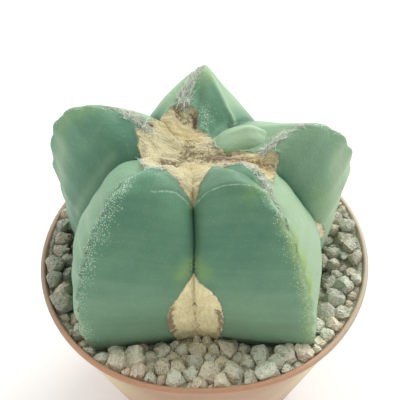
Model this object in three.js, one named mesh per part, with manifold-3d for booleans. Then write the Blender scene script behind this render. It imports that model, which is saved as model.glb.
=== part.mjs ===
// Potted bishop's cap cactus, monstrose form: a spineless body of five broad ribs with a small
// offset lobe on its crown, standing in pumice over potting mix in a tapered nursery pot.
// Millimetres, +Z up, origin at the middle of the pot's base, the two front ribs towards -Y.

import * as THREE from 'three';
import { mergeVertices } from 'three/addons/utils/BufferGeometryUtils.js';
import Module from 'manifold-3d';

const wasm = await Module();
wasm.setup();

// Driving dimensions of the pot
const POT_HEIGHT = 80;
const RIM_RADIUS = 50;
const BASE_RADIUS = 36;
const WALL = 1;
const FLOOR = 2;
const LIP_OVERHANG = 0.5;
const LIP_HEIGHT = 1.6;
const EDGE = 0.7;
const POT_SIDES = 64;
const DRAIN_COUNT = 6;
const DRAIN_RADIUS = 3;
const DRAIN_CIRCLE = 24;
const DRAIN_SIDES = 16;

// Driving dimensions of the two layers in the pot; depths are measured down from the rim
const CLEARANCE = 0.35;
const PUMICE_DEPTH = 5.4;
const PUMICE_BOTTOM = 10.5;
const SURFACE_TILT = 0.9;
const TILT_AZIMUTH = 315;
const GRAIN_RADIUS = [1.8, 3.1];
const GRAIN_TRIES = 8000;
const GRAIN_SPACING = 0.72;
const GRAIN_INSET = 0.7;
const GRAIN_RISE = 0.3;
const GRAIN_STRETCH = [1.1, 0.95, 0.9];
const GRAIN_TURNS = [1.7, 0.9, 2.4];
const GRAIN_SEED = 20231;

// Driving dimensions of the cactus
const ROOT_DEPTH = 34;
const CROWN = { x: -2.5, y: 0, height: 33 };
const CREST_ROUNDING = 0.03;
const CROWN_ROUNDING = 0.22;
const AREOLE_RELIEF = 0.35;
const AREOLES_PER_KNOT = 1.5;
const ARCH_SKEW = 0.8;
const OFFSET_LOBE = { x: 11, y: 3.5, height: 33.2, turn: -3, radii: [6.8, 5.5, 4.6] };
const LOBE_SEGMENTS = [20, 12];

// The body is drawn between ten rails that run from the root's tip to the crown. Every rail
// starts with the root's knots. A knot is [radius, height above the rim, azimuth where it
// leaves the rail's own].
const ROOT_KNOTS = [[0, -ROOT_DEPTH], [5, -26], [9, -17]];
const FIRST_CROWN_KNOT = 8;
const LAST_CROWN_KNOT = 12;

// A rib's crest, and the crease that follows it counter-clockwise
const RIBS = [
  {
    crest: {
      azimuth: 227,
      knots: [[38, -12], [46.2, -4.8, 229], [46.8, 6, 226], [44.4, 18], [40.4, 27], [35.5, 34.3],
        [27, 40.1], [17.4, 39.4], [12, 36.4], [7, 34.2]],
    },
    crease: {
      azimuth: 265,
      knots: [[27, -12], [31, -4.5], [32, 5], [31.5, 14], [29, 21.5], [24.5, 27.5],
        [18.5, 33.2], [13.5, 34], [9.5, 33.8], [5, 33.4]],
    },
    before: { swell: [3, 3.8, 2.8, 1.6], arch: 0.5 },
    after: { swell: [0.8, 2.6, 2.6, 2.2], arch: 3.2 },
  },
  {
    crest: {
      azimuth: 307,
      knots: [[38, -12], [46.1, -5], [44.8, 5], [43, 12.5], [39.6, 21], [34.6, 29.5],
        [28.4, 36.8], [20.5, 39.8], [14, 36.5], [8, 34]],
    },
    crease: {
      azimuth: 336,
      knots: [[27, -12], [32, -4.5], [32.6, 5], [32.5, 13], [30, 20.5], [25.5, 26],
        [20.6, 32], [15.5, 33.5], [10.5, 33.6], [5, 33.3]],
    },
    before: { swell: [0.8, 2.6, 2.6, 2.2], arch: 3.2 },
    after: { swell: [2, 2.4, 1.8, 1.2], arch: 0.5 },
  },
  {
    crest: {
      azimuth: 361,
      knots: [[34, -12], [39.6, -5], [40.8, 7.5], [41.8, 18.5], [42, 28, 362], [37.6, 36.4, 363],
        [28.6, 40.8, 364], [19.5, 36.2, 365], [13, 34.3, 365], [6, 33.6]],
    },
    crease: {
      azimuth: 410,
      knots: [[26, -12], [30, -4.5], [31, 5], [30.5, 15], [28, 24], [22.5, 30],
        [16.6, 32.6], [12.5, 33.2], [8.5, 33.2], [4, 33.1]],
    },
    before: { swell: [1.6, 2, 1.2, 0.8], arch: 0 },
    after: { swell: [1.8, 2, 0.4, 0.2], arch: -0.5 },
  },
  {
    crest: {
      azimuth: 448,
      knots: [[34, -12], [41, -4.5], [42, 6], [42.3, 16], [41.5, 27], [38.5, 35, 446],
        [31.5, 41.2, 446], [22, 38.4, 453], [14.5, 35.2, 458], [7, 33.5, 462]],
    },
    crease: {
      azimuth: 489,
      knots: [[26, -12], [30, -4.5], [31, 5], [31, 14], [29, 22], [25, 28.5],
        [19.5, 33], [14.5, 34], [10, 33.8], [5, 33.3]],
    },
    before: { swell: [1.8, 1.8, 1.6, 1.8], arch: 0 },
    after: { swell: [1.8, 2, 2.4, 2.4], arch: 0 },
  },
  {
    crest: {
      azimuth: 528,
      knots: [[35, -12], [43.2, -5.5, 531], [43.2, 6, 531], [43, 17, 530], [43.2, 28, 529],
        [40.6, 38.2, 527], [31.5, 44, 525], [18, 42.8, 520], [12, 39, 517], [6, 34.6, 515]],
    },
    crease: {
      azimuth: 559,
      knots: [[27, -12], [32, -4.5], [32.5, 5], [32, 14], [29.5, 21.5], [25, 28],
        [19, 33.4], [14, 34.2], [9.5, 33.9], [5, 33.4]],
    },
    before: { swell: [1.8, 2.2, 1.6, 1.2], arch: 0 },
    after: { swell: [1.8, 2.2, 1.8, 1.6], arch: 0.5 },
  },
];
const LAST_KNOT = 13;

// The knots where the body leaves the pumice, where its crests begin and end to broaden towards
// the crown, and where the areoles' waves start and stop
const SOIL_KNOT = 4;
const ROUNDING_KNOTS = [9, 11];
const AREOLE_START = [4, 5];
const AREOLE_END = [10, 11];

// Where the mesh is sampled: rows along the rails, and columns from crest to crease
const ROOT_ROWS = [0, 1, 2, 2.5];
const ROWS_PER_KNOT = 3;
const COLUMNS = [0, 0.12, 0.34, 0.58, 0.8, 0.94];
const SLOPE_STEP = 0.02;

// The greatest value of w * sqrt(1 - w), which gives a flank its belly
const BELLY_PEAK = 0.385;

const MERGE_DISTANCE = 1e-4;
const SURFACE_BAND = 0.1;

const FINISHES = {
  pot: { color: 0xbf9a80, roughness: 0.55 },
  potting_mix: { color: 0x4a3c2e, roughness: 1 },
  pumice_top_dressing: { color: 0x9c9d86, roughness: 0.95 },
  cactus_body: { color: 0x6a8f6e, roughness: 0.6 },
};

const rimZ = POT_HEIGHT;
const radians = THREE.MathUtils.degToRad;

// Solids from three.js geometry, and back

function toSolid(geometry) {
  geometry.deleteAttribute('normal');
  geometry.deleteAttribute('uv');
  const merged = mergeVertices(geometry, MERGE_DISTANCE);
  const index = merged.index.array;
  const triangles = [];
  for (let i = 0; i < index.length; i += 3) {
    const [a, b, c] = [index[i], index[i + 1], index[i + 2]];
    if (a !== b && b !== c && c !== a) triangles.push(a, b, c);
  }
  const mesh = new wasm.Mesh({
    numProp: 3,
    vertProperties: new Float32Array(merged.attributes.position.array),
    triVerts: new Uint32Array(triangles),
  });
  return new wasm.Manifold(mesh);
}

function toGeometry(solid) {
  const mesh = solid.getMesh();
  const geometry = new THREE.BufferGeometry();
  geometry.setAttribute('position', new THREE.BufferAttribute(mesh.vertProperties, 3));
  geometry.setIndex(new THREE.BufferAttribute(mesh.triVerts, 1));
  geometry.computeVertexNormals();
  return geometry;
}

// Turns a closed [radius, height] profile about the Z axis
function turned(profile, sides) {
  const points = profile.map(([radius, height]) => new THREE.Vector2(radius, height));
  return new THREE.LatheGeometry(points, sides).rotateX(Math.PI / 2);
}

// Drops the loose scraps that a cut can leave
function largestPiece(solid) {
  const pieces = solid.decompose();
  return pieces.reduce((best, piece) => (piece.volume() > best.volume() ? piece : best));
}

// Pot

// The outer and inner radius of the pot's wall at a height above its base
const mouthRadius = RIM_RADIUS - LIP_OVERHANG;
const outerRadius = (z) => BASE_RADIUS + (mouthRadius - BASE_RADIUS) * (z / POT_HEIGHT);
const innerRadius = (z) => outerRadius(z) - WALL;

function potSolid() {
  const lipZ = POT_HEIGHT - LIP_HEIGHT;
  const shell = toSolid(turned([
    [0, 0],
    [BASE_RADIUS - EDGE, 0],
    [outerRadius(EDGE), EDGE],
    [outerRadius(lipZ), lipZ],
    [RIM_RADIUS - EDGE / 2, lipZ],
    [RIM_RADIUS, lipZ + EDGE],
    [RIM_RADIUS, POT_HEIGHT - EDGE],
    [RIM_RADIUS - EDGE, POT_HEIGHT],
    [innerRadius(POT_HEIGHT) + EDGE / 2, POT_HEIGHT],
    [innerRadius(POT_HEIGHT), POT_HEIGHT - EDGE],
    [innerRadius(FLOOR + EDGE), FLOOR + EDGE],
    [innerRadius(FLOOR) - EDGE, FLOOR],
    [0, FLOOR],
  ], POT_SIDES));
  const cutterHeight = 3 * FLOOR;
  const drains = [];
  for (let i = 0; i < DRAIN_COUNT; i += 1) {
    const angle = ((i + 0.5) / DRAIN_COUNT) * 2 * Math.PI;
    const drain = new THREE.CylinderGeometry(DRAIN_RADIUS, DRAIN_RADIUS, cutterHeight, DRAIN_SIDES)
      .rotateX(Math.PI / 2)
      .translate(DRAIN_CIRCLE * Math.cos(angle), DRAIN_CIRCLE * Math.sin(angle), FLOOR / 2);
    drains.push(toSolid(drain));
  }
  return shell.subtract(wasm.Manifold.union(drains));
}

// Cactus

// Knots of a rail as points. Near the top they turn about the crown instead of the pot's axis.
// grow widens the rail and lowers its root, for the hollow that the body leaves round it.
function railPoints(rail, grow) {
  const points = [...ROOT_KNOTS, ...rail.knots].map(([radius, height, azimuth], knot) => {
    const angle = radians(azimuth ?? rail.azimuth);
    const wide = radius > 0 ? radius + grow : 0;
    const low = knot <= ROOT_KNOTS.length ? grow : 0;
    const towardsCrown = THREE.MathUtils.clamp(
      (knot - FIRST_CROWN_KNOT) / (LAST_CROWN_KNOT - FIRST_CROWN_KNOT), 0, 1);
    return new THREE.Vector3(
      wide * Math.cos(angle) + towardsCrown * CROWN.x,
      wide * Math.sin(angle) + towardsCrown * CROWN.y,
      rimZ + height - low,
    );
  });
  return [...points, new THREE.Vector3(CROWN.x, CROWN.y, rimZ + CROWN.height)];
}

// Catmull-Rom weights of the four knots round t
function knotWeights(t) {
  const start = Math.min(Math.floor(t), LAST_KNOT - 1);
  const f = t - start;
  return {
    start,
    weights: [
      0.5 * (-f + 2 * f ** 2 - f ** 3),
      0.5 * (2 - 5 * f ** 2 + 3 * f ** 3),
      0.5 * (f + 4 * f ** 2 - 3 * f ** 3),
      0.5 * (-(f ** 2) + f ** 3),
    ],
  };
}

// The point at t on a rail, whose ends are carried on in a straight line
function railPoint(points, t) {
  const { start, weights } = knotWeights(t);
  const knot = (i) => {
    if (i < 0) return points[0].clone().multiplyScalar(2).sub(points[1]);
    if (i > LAST_KNOT) return points[LAST_KNOT].clone().multiplyScalar(2).sub(points[LAST_KNOT - 1]);
    return points[i];
  };
  const point = new THREE.Vector3();
  weights.forEach((weight, i) => point.addScaledVector(knot(start - 1 + i), weight));
  return point;
}

// A value given at every knot, at t
function valueAt(values, t) {
  const { start, weights } = knotWeights(t);
  const knot = (i) => values[THREE.MathUtils.clamp(i, 0, LAST_KNOT)];
  return weights.reduce((sum, weight, i) => sum + weight * knot(start - 1 + i), 0);
}

// How far a flank swells out, at every knot, from its swell low on the side, high on the side,
// at the shoulder and on the crown
const swellKnots = ([low, high, shoulder, crown]) => [0, 0, 0, 0, low / 2, low,
  (low + high) / 2, high, (high + shoulder) / 2, shoulder, crown, crown / 2, crown / 8, 0];
const archKnots = (arch) => [0, 0, 0, 0, 0, 0, 0, 0, 0.3 * arch, arch, 0.7 * arch,
  0.25 * arch, 0, 0];

// The ten flanks in order round the body, each with its crest, its crease, and the crease on
// the far side of its rib. A flank before its rib runs from crease to crest.
function bodyFlanks(grow) {
  const crests = RIBS.map((rib) => railPoints(rib.crest, grow));
  const creases = RIBS.map((rib) => railPoints(rib.crease, grow));
  return RIBS.flatMap((rib, i) => {
    const next = (i + 1) % RIBS.length;
    const last = (i + RIBS.length - 1) % RIBS.length;
    return [
      {
        crest: crests[i], crease: creases[i], farCrease: creases[last], turn: 1, form: rib.after,
      },
      {
        crest: crests[next], crease: creases[i], farCrease: creases[next], turn: -1,
        form: RIBS[next].before,
      },
    ];
  });
}

// One point of a flank, w from 0 at the crest to 1 at the crease: the straight line between the
// rails, rounded over the crest, swollen outwards and arched upwards.
function flankPoint(flank, w, t) {
  const crease = railPoint(flank.crease, t);
  const far = railPoint(flank.farCrease, t);
  const crest = railPoint(flank.crest, t);
  const outwards = crest.clone().sub(crease.clone().add(far).multiplyScalar(0.5));
  if (outwards.length() > 1) {
    const wave = AREOLE_RELIEF * Math.cos(2 * Math.PI * AREOLES_PER_KNOT * t);
    const fade = THREE.MathUtils.smoothstep(t, ...AREOLE_START)
      * (1 - THREE.MathUtils.smoothstep(t, ...AREOLE_END));
    crest.addScaledVector(outwards.normalize(), wave * fade);
  }
  const chord = crease.clone().sub(crest);
  const middle = (s) => railPoint(flank.crest, s).add(railPoint(flank.crease, s));
  const above = middle(Math.min(t + SLOPE_STEP, LAST_KNOT));
  const along = above.sub(middle(Math.max(t - SLOPE_STEP, 0)));
  const normal = new THREE.Vector3().crossVectors(chord, along).multiplyScalar(flank.turn);
  normal.normalize();

  const rounding = CREST_ROUNDING
    + CROWN_ROUNDING * THREE.MathUtils.smoothstep(t, ...ROUNDING_KNOTS);
  const soft = Math.sqrt(w * w + rounding ** 2);
  const closing = ((Math.sqrt(1 + rounding ** 2) - 1) / 2) * w * w;
  const belly = (w * Math.sqrt(1 - w)) / BELLY_PEAK;
  const lift = valueAt(archKnots(flank.form.arch), t) * Math.sin(Math.PI * w ** ARCH_SKEW);
  return crest
    .addScaledVector(chord, (soft + w) / 2 - closing)
    .addScaledVector(far.sub(crest), (soft - w) / 2 - closing)
    .addScaledVector(normal, valueAt(swellKnots(flank.form.swell), t) * belly)
    .add(new THREE.Vector3(0, 0, lift));
}

// The ring of points round the body at t
function bodyRing(flanks, t) {
  return flanks.flatMap((flank) => {
    const places = flank.turn > 0 ? COLUMNS : [1, ...COLUMNS.slice(1).reverse()];
    return places.map((w) => flankPoint(flank, w, t));
  });
}

function bodySolid(grow) {
  const flanks = bodyFlanks(grow);
  const rows = [...ROOT_ROWS];
  const first = ROOT_KNOTS.length;
  const rowCount = (LAST_KNOT - first) * ROWS_PER_KNOT;
  for (let i = 0; i <= rowCount; i += 1) rows.push(first + i / ROWS_PER_KNOT);
  const rings = rows.slice(1, -1).map((t) => bodyRing(flanks, t));
  const around = rings[0].length;
  const tip = railPoint(flanks[0].crest, 0);
  const top = railPoint(flanks[0].crest, LAST_KNOT);
  const points = [tip, ...rings.flat(), top];
  const at = (row, column) => 1 + row * around + (column % around);
  const index = [];
  for (let column = 0; column < around; column += 1) {
    index.push(0, at(0, column + 1), at(0, column));
    index.push(points.length - 1, at(rings.length - 1, column), at(rings.length - 1, column + 1));
    for (let row = 0; row < rings.length - 1; row += 1) {
      index.push(at(row, column), at(row, column + 1), at(row + 1, column + 1));
      index.push(at(row, column), at(row + 1, column + 1), at(row + 1, column));
    }
  }
  const geometry = new THREE.BufferGeometry().setFromPoints(points);
  geometry.setIndex(index);
  return toSolid(geometry);
}

function offsetLobeSolid() {
  const { x, y, height, turn, radii } = OFFSET_LOBE;
  const lobe = new THREE.SphereGeometry(1, ...LOBE_SEGMENTS)
    .rotateX(Math.PI / 2)
    .scale(...radii)
    .rotateZ(radians(turn))
    .translate(x, y, rimZ + height);
  return toSolid(lobe);
}

// Fill

// A plug that fits the pot from one height to another, clear of its wall
function fillSolid(bottom, top) {
  return toSolid(turned([
    [0, bottom],
    [innerRadius(bottom) - CLEARANCE - EDGE, bottom],
    [innerRadius(bottom + EDGE) - CLEARANCE, bottom + EDGE],
    [innerRadius(top) - CLEARANCE, top],
    [0, top],
  ], POT_SIDES));
}

function mixSolid(hollow) {
  const top = rimZ - PUMICE_BOTTOM - CLEARANCE;
  return largestPiece(fillSolid(FLOOR + CLEARANCE, top).subtract(hollow));
}

// How far the pumice surface stands above its mean level
function surfaceRise(x, y) {
  const angle = radians(TILT_AZIMUTH);
  return (SURFACE_TILT * (x * Math.cos(angle) + y * Math.sin(angle))) / RIM_RADIUS;
}

// Repeatable random numbers from 0 to 1
function randomDraws(seed) {
  let state = seed;
  return () => {
    state = (Math.imul(1664525, state) + 1013904223) >>> 0;
    return state / 2 ** 32;
  };
}

// The distance from a point to a closed outline, negative inside it
function outlineDistance(outline, x, y) {
  let nearest = Infinity;
  let inside = false;
  outline.forEach((a, i) => {
    const b = outline[(i + 1) % outline.length];
    const [dx, dy] = [b.x - a.x, b.y - a.y];
    const along = ((x - a.x) * dx + (y - a.y) * dy) / (dx * dx + dy * dy);
    const near = THREE.MathUtils.clamp(along, 0, 1);
    nearest = Math.min(nearest, Math.hypot(x - a.x - near * dx, y - a.y - near * dy));
    if ((a.y > y) !== (b.y > y) && x < a.x + (dx * (y - a.y)) / dy) inside = !inside;
  });
  return inside ? -nearest : nearest;
}

// Grains thrown one by one on the ring between the body and the pot; one is kept where it
// clears the wall, the body and the grains before it.
function grainPlaces(outline) {
  const draw = randomDraws(GRAIN_SEED);
  const [small, large] = GRAIN_RADIUS;
  const wallRadius = innerRadius(rimZ - PUMICE_DEPTH) - CLEARANCE;
  const grains = [];
  for (let i = 0; i < GRAIN_TRIES; i += 1) {
    const reach = wallRadius * Math.sqrt(draw());
    const angle = 2 * Math.PI * draw();
    const radius = small + (large - small) * draw();
    const [x, y] = [reach * Math.cos(angle), reach * Math.sin(angle)];
    const clear = reach + radius < wallRadius
      && outlineDistance(outline, x, y) > GRAIN_INSET * radius
      && grains.every((grain) => Math.hypot(grain.x - x, grain.y - y)
        > GRAIN_SPACING * (grain.radius + radius));
    if (clear) grains.push({ x, y, radius });
  }
  return grains;
}

function grainSolid({ x, y, radius }, i) {
  const grain = new THREE.IcosahedronGeometry(radius, 0)
    .scale(...GRAIN_STRETCH)
    .rotateX(GRAIN_TURNS[0] * i)
    .rotateY(GRAIN_TURNS[1] * i)
    .rotateZ(GRAIN_TURNS[2] * i)
    .translate(x, y, rimZ - PUMICE_DEPTH + surfaceRise(x, y) + GRAIN_RISE * radius);
  return toSolid(grain);
}

function pumiceSolid(hollow, outline) {
  const top = rimZ - PUMICE_DEPTH;
  const bed = fillSolid(rimZ - PUMICE_BOTTOM, top).warp((point) => {
    if (point[2] > top - SURFACE_BAND) point[2] += surfaceRise(point[0], point[1]);
  });
  const grains = grainPlaces(outline).map(grainSolid);
  return largestPiece(wasm.Manifold.union([bed, ...grains]).subtract(hollow));
}

// Assembly

function piece(name, solid) {
  const material = new THREE.MeshStandardMaterial({ ...FINISHES[name], metalness: 0 });
  const mesh = new THREE.Mesh(toGeometry(solid), material);
  mesh.name = name;
  return mesh;
}

const hollow = bodySolid(2 * CLEARANCE);
const outline = bodyRing(bodyFlanks(CLEARANCE), SOIL_KNOT);

const group = new THREE.Group();
group.add(
  piece('pot', potSolid()),
  piece('potting_mix', mixSolid(hollow)),
  piece('pumice_top_dressing', pumiceSolid(hollow, outline)),
  piece('cactus_body', bodySolid(0).add(offsetLobeSolid())),
);

export default group;
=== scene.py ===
"""Finished look of the potted bishop's cap cactus of the monstrose kind.

Lengths are worked out in millimetres and become metres where a mesh is made. The origin is the middle of
the pot's underside, +Z is up, and the two front ribs face -Y.
"""

from __future__ import annotations

import logging
import math
from collections.abc import Callable
from dataclasses import dataclass, field
from enum import Enum
from itertools import product

import bpy
import numpy as np
from mathutils import Matrix, Vector

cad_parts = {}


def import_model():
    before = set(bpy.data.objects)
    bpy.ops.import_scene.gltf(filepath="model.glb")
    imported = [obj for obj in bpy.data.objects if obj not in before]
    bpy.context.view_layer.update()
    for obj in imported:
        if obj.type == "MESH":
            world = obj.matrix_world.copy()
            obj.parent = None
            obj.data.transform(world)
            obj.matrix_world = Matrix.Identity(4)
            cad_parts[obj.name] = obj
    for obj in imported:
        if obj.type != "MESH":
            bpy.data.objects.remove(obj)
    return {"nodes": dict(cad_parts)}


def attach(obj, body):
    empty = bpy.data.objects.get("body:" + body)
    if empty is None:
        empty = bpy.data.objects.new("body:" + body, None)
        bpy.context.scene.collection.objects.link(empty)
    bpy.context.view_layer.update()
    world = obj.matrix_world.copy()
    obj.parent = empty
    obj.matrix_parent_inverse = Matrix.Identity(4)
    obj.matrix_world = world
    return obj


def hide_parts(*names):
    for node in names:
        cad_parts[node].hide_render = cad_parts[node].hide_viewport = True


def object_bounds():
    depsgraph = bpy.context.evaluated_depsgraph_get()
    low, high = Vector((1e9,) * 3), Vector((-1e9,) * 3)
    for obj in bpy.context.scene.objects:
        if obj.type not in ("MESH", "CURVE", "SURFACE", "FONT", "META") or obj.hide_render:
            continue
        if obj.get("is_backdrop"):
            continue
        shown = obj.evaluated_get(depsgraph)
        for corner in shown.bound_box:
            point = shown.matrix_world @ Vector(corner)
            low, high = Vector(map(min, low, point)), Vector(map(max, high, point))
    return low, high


LOG = logging.getLogger("potted_cactus")

MM = 0.001
RIM_Z = 80.0
BODY = "root"

Colour = tuple[float, float, float]
Point = tuple[float, float, float]
Mark = tuple[float, float, tuple[Point, ...]]
Array = np.ndarray
Material, Object, Socket = bpy.types.Material, bpy.types.Object, bpy.types.NodeSocket


class Slot(Enum):
    """The material slots that the pieces take their finish from."""

    POT = "pot_plastic"
    MIX = "potting_mix"
    PUMICE = "pumice"
    SKIN = "cactus_skin"
    CORK = "cork"
    WOOL = "areole_wool"


class Channel(Enum):
    """The numbers that a skin mesh carries at every vertex for its finish.

    SCAR is the distance in mm inside the nearest scar's edge, negative outside it. CREST and CREASE are
    distances in mm from those lines, and ARCH is the height in mm above a growth arch. GROWTH is the
    place along the rails. The others are strengths from 0 to 1.
    """

    SCAR = "scar"
    CREST = "crest"
    CREASE = "crease"
    ARCH = "arch"
    GROWTH = "growth"
    UPRIGHT = "upright"
    FLECK = "fleck"
    NOTCH = "notch"
    LIME = "lime"
    BROWN = "brown"
    OCHRE = "ochre"
    ROSE = "rose"
    WOOL = "wool"
    # Painted light: lightens the skin where it faces the light
    PAINTED_LIGHT = "pale"
    # Painted shade: darkens the skin where it lies in shade
    PAINTED_SHADE = "deep"


# Distances in the channels stop at this many mm
FAR = 9.0
BLANK = {Channel.SCAR: -FAR, Channel.CREST: FAR, Channel.CREASE: FAR, Channel.ARCH: -FAR}


def srgb(*screen: float) -> Colour:
    """The linear colour of screen values of 255: v / 12.92 below 0.04045, else ((v + 0.055) / 1.055)^2.4."""
    values = [v / 255 for v in screen]
    return tuple(v / 12.92 if v < 0.04045 else ((v + 0.055) / 1.055) ** 2.4 for v in values)


# Numbers and noise


def smoothstep(x: Array, low: float, high: float) -> Array:
    """Rises from 0 at low to 1 at high as 3f^2 - 2f^3, with f the share of the way."""
    f = np.clip((x - low) / (high - low), 0, 1)
    return f * f * (3 - 2 * f)


def hashed(cell: Array, seed: int) -> Array:
    """A repeatable random number from 0 to 1 for every lattice cell, given as whole numbers (..., 3)."""
    c = cell.astype(np.int64).astype(np.uint64)
    mixed = (
        c[..., 0] * np.uint64(73856093)
        ^ c[..., 1] * np.uint64(19349663)
        ^ c[..., 2] * np.uint64(83492791)
        ^ np.uint64((seed * 2654435761) % 2**32)
    )
    mixed = (mixed ^ (mixed >> np.uint64(13))) * np.uint64(1274126177)
    mixed = (mixed ^ (mixed >> np.uint64(16))) & np.uint64(0xFFFFFFFF)
    return mixed.astype(float) / 2**32


def noise(points: Array, size: float, seed: int) -> Array:
    """Smooth noise from -1 to 1: random values on a lattice, blended with the weights 3f^2 - 2f^3.

    Args:
        points: places in mm, shape (..., 3).
        size, seed: width of a lattice cell in mm, and a number that picks the pattern.

    Returns:
        Noise of shape (...).
    """
    place = points / size
    cell = np.floor(place)
    share = smoothstep(place - cell, 0, 1)
    total = np.zeros(points.shape[:-1])
    for corner in product((0, 1), repeat=3):
        weight = np.prod(np.where(corner, share, 1 - share), axis=-1)
        total += weight * hashed(cell + np.array(corner), seed)
    return 2 * total - 1


def fractal(points: Array, size: float, seed: int, octaves: int = 3) -> Array:
    """Noise summed over octaves, each half as wide and half as strong as the one before."""
    return sum(0.5**k * noise(points, size * 0.5**k, seed + k) for k in range(octaves))


def outline_depth(outline: Array, points: Array) -> Array:
    """Distances of points (..., 2) to a closed outline's nearest edge, negative outside it."""
    start, end = outline, np.roll(outline, -1, axis=0)
    run = end - start
    offset = points[..., None, :] - start
    along = np.clip((offset * run).sum(-1) / (run * run).sum(-1), 0, 1)
    nearest = np.linalg.norm(offset - along[..., None] * run, axis=-1).min(-1)
    x, y = points[..., 0, None], points[..., 1, None]
    spans = (start[:, 1] > y) != (end[:, 1] > y)
    rise = np.where(run[:, 1] == 0, 1, run[:, 1])
    crossed = spans & (x < start[:, 0] + run[:, 0] * (y - start[:, 1]) / rise)
    return np.where(crossed.sum(-1) % 2 == 1, nearest, -nearest)


def path_distance(path: Array, points: Array) -> Array:
    """Distances of points (..., 3) to a path of straight stretches, or to a single place."""
    if len(path) == 1:
        return np.linalg.norm(points - path[0], axis=-1)
    nearest = np.full(points.shape[:-1], np.inf)
    for start, end in zip(path[:-1], path[1:]):
        run = end - start
        along = np.clip(((points - start) @ run) / (run @ run), 0, 1)
        nearest = np.minimum(nearest, np.linalg.norm(points - start - along[..., None] * run, axis=-1))
    return nearest


# Meshes


@dataclass(frozen=True)
class Shape:
    """Points in mm and the faces that join them, as arrays of quads and of triangles."""

    points: Array
    faces: tuple[Array, ...]

    def mesh(self, name: str) -> bpy.types.Mesh:
        """Makes the shape a mesh in metres."""
        mesh = bpy.data.meshes.new(name)
        faces = [face for group in self.faces for face in group.tolist()]
        mesh.from_pydata((self.points * MM).tolist(), [], faces)
        return mesh

    def piece(self, name: str, slot: Slot, material: Material, channels: dict[str, Array],
              sharp: float | None = None) -> Object:
        """Makes the shape a smooth piece at the origin that rides on the part's one body.

        Args:
            name, slot, material: its name, the material slot it stands for, which is not used, and its
                finish.
            channels: numbers at every point, kept as attributes.
            sharp: edges that turn more than this many degrees stay crisp.

        Returns:
            The finished object.
        """
        mesh = self.mesh(name)
        mesh.polygons.foreach_set("use_smooth", np.ones(len(mesh.polygons), bool))
        keep_channels(mesh, channels)
        mesh.update()
        if sharp is not None:
            mesh.set_sharp_from_angle(angle=math.radians(sharp))
        mesh.materials.append(material)
        piece = linked(name, mesh)
        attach(piece, BODY)
        LOG.info("%s: %d points, %d faces", name, len(self.points), len(mesh.polygons))
        return piece


def keep_channels(mesh: bpy.types.Mesh, channels: dict[str, Array]) -> None:
    """Writes numbers at every point into attributes of a mesh."""
    for channel, values in channels.items():
        layer = mesh.attributes.new(channel, "FLOAT", "POINT")
        layer.data.foreach_set("value", np.ascontiguousarray(values, np.float32).ravel())


def linked(name: str, data: bpy.types.ID) -> Object:
    """A new object in the scene that shows the data."""
    new = bpy.data.objects.new(name, data)
    bpy.context.scene.collection.objects.link(new)
    return new


def ring_quads(rings: int, around: int, closed: bool = False) -> Array:
    """Quads between rings of points that are numbered ring by ring, counter-clockwise and upwards.

    Args:
        rings, around: how many rings, and how many points each has.
        closed: whether the last ring joins the first.

    Returns:
        Corner numbers, shape (quads, 4).
    """
    row = np.arange(rings if closed else rings - 1)[:, None]
    column = np.arange(around)[None, :]
    above, beside = (row + 1) % rings, (column + 1) % around
    corners = [row * around + column, row * around + beside, above * around + beside, above * around + column]
    return np.stack(np.broadcast_arrays(*corners), axis=-1).reshape(-1, 4)


def capped_rings(rings: Array, bottom: Array, top: Array) -> Shape:
    """A closed surface through rings of points, with a single point at each end.

    Args:
        rings: points, shape (rings, around, 3), upwards and counter-clockwise.
        bottom, top: the end points, which come last in the shape.

    Returns:
        The closed shape.
    """
    count, around = rings.shape[:2]
    points = np.vstack([rings.reshape(-1, 3), bottom, top])
    column = np.arange(around)
    beside = (column + 1) % around
    low, high = count * around, count * around + 1
    last = (count - 1) * around
    caps = np.vstack([
        np.stack([np.full(around, low), beside, column], axis=-1),
        np.stack([np.full(around, high), last + column, last + beside], axis=-1),
    ])
    return Shape(points, (ring_quads(count, around), caps))


def turned(profile: Array, around: int) -> Shape:
    """A profile of [radius, height] rows, from axis to axis, carried round Z to (r cos a, r sin a, z)."""
    angle = np.linspace(0, 2 * np.pi, around, endpoint=False)
    circle = np.stack([np.cos(angle), np.sin(angle), np.zeros(around)], axis=-1)
    rings = profile[1:-1, 0][:, None, None] * circle + profile[1:-1, 1][:, None, None] * np.array([0, 0, 1])
    return capped_rings(rings, np.array([0, 0, profile[0, 1]]), np.array([0, 0, profile[-1, 1]]))


def rounded(corners: list[tuple[float, float, float]], steps: int = 5) -> Array:
    """A profile whose corners are rounded by arcs, each the curve (1-s)^2 a + 2s(1-s) b + s^2 c.

    Args:
        corners: [radius, height, rounding] in mm, in order.
        steps: points along each arc.

    Returns:
        The profile's points, shape (k, 2).
    """
    places = np.array([c[:2] for c in corners], float)
    points = [places[:1]]
    s = np.linspace(0, 1, steps)[:, None]
    for i in range(1, len(corners) - 1):
        before, here, after = places[i - 1 : i + 2]
        start = here + (before - here) / np.linalg.norm(before - here) * corners[i][2]
        end = here + (after - here) / np.linalg.norm(after - here) * corners[i][2]
        points.append((1 - s) ** 2 * start + 2 * s * (1 - s) * here + s**2 * end)
    points.append(places[-1:])
    return np.vstack(points)


def copies(points: Array, unit: Shape) -> Shape:
    """One shape of many closed ones, each joined as the unit is; points is (count, points each, 3)."""
    step = (np.arange(len(points)) * len(unit.points))[:, None, None]
    faces = tuple((group[None] + step).reshape(-1, group.shape[1]) for group in unit.faces)
    return Shape(points.reshape(-1, 3), faces)


def per_copy(values: Array, shape: Shape) -> Array:
    """Numbers that are given once for each copy in a shape, repeated for all its points."""
    return np.repeat(values, len(shape.points) // len(values))


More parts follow.
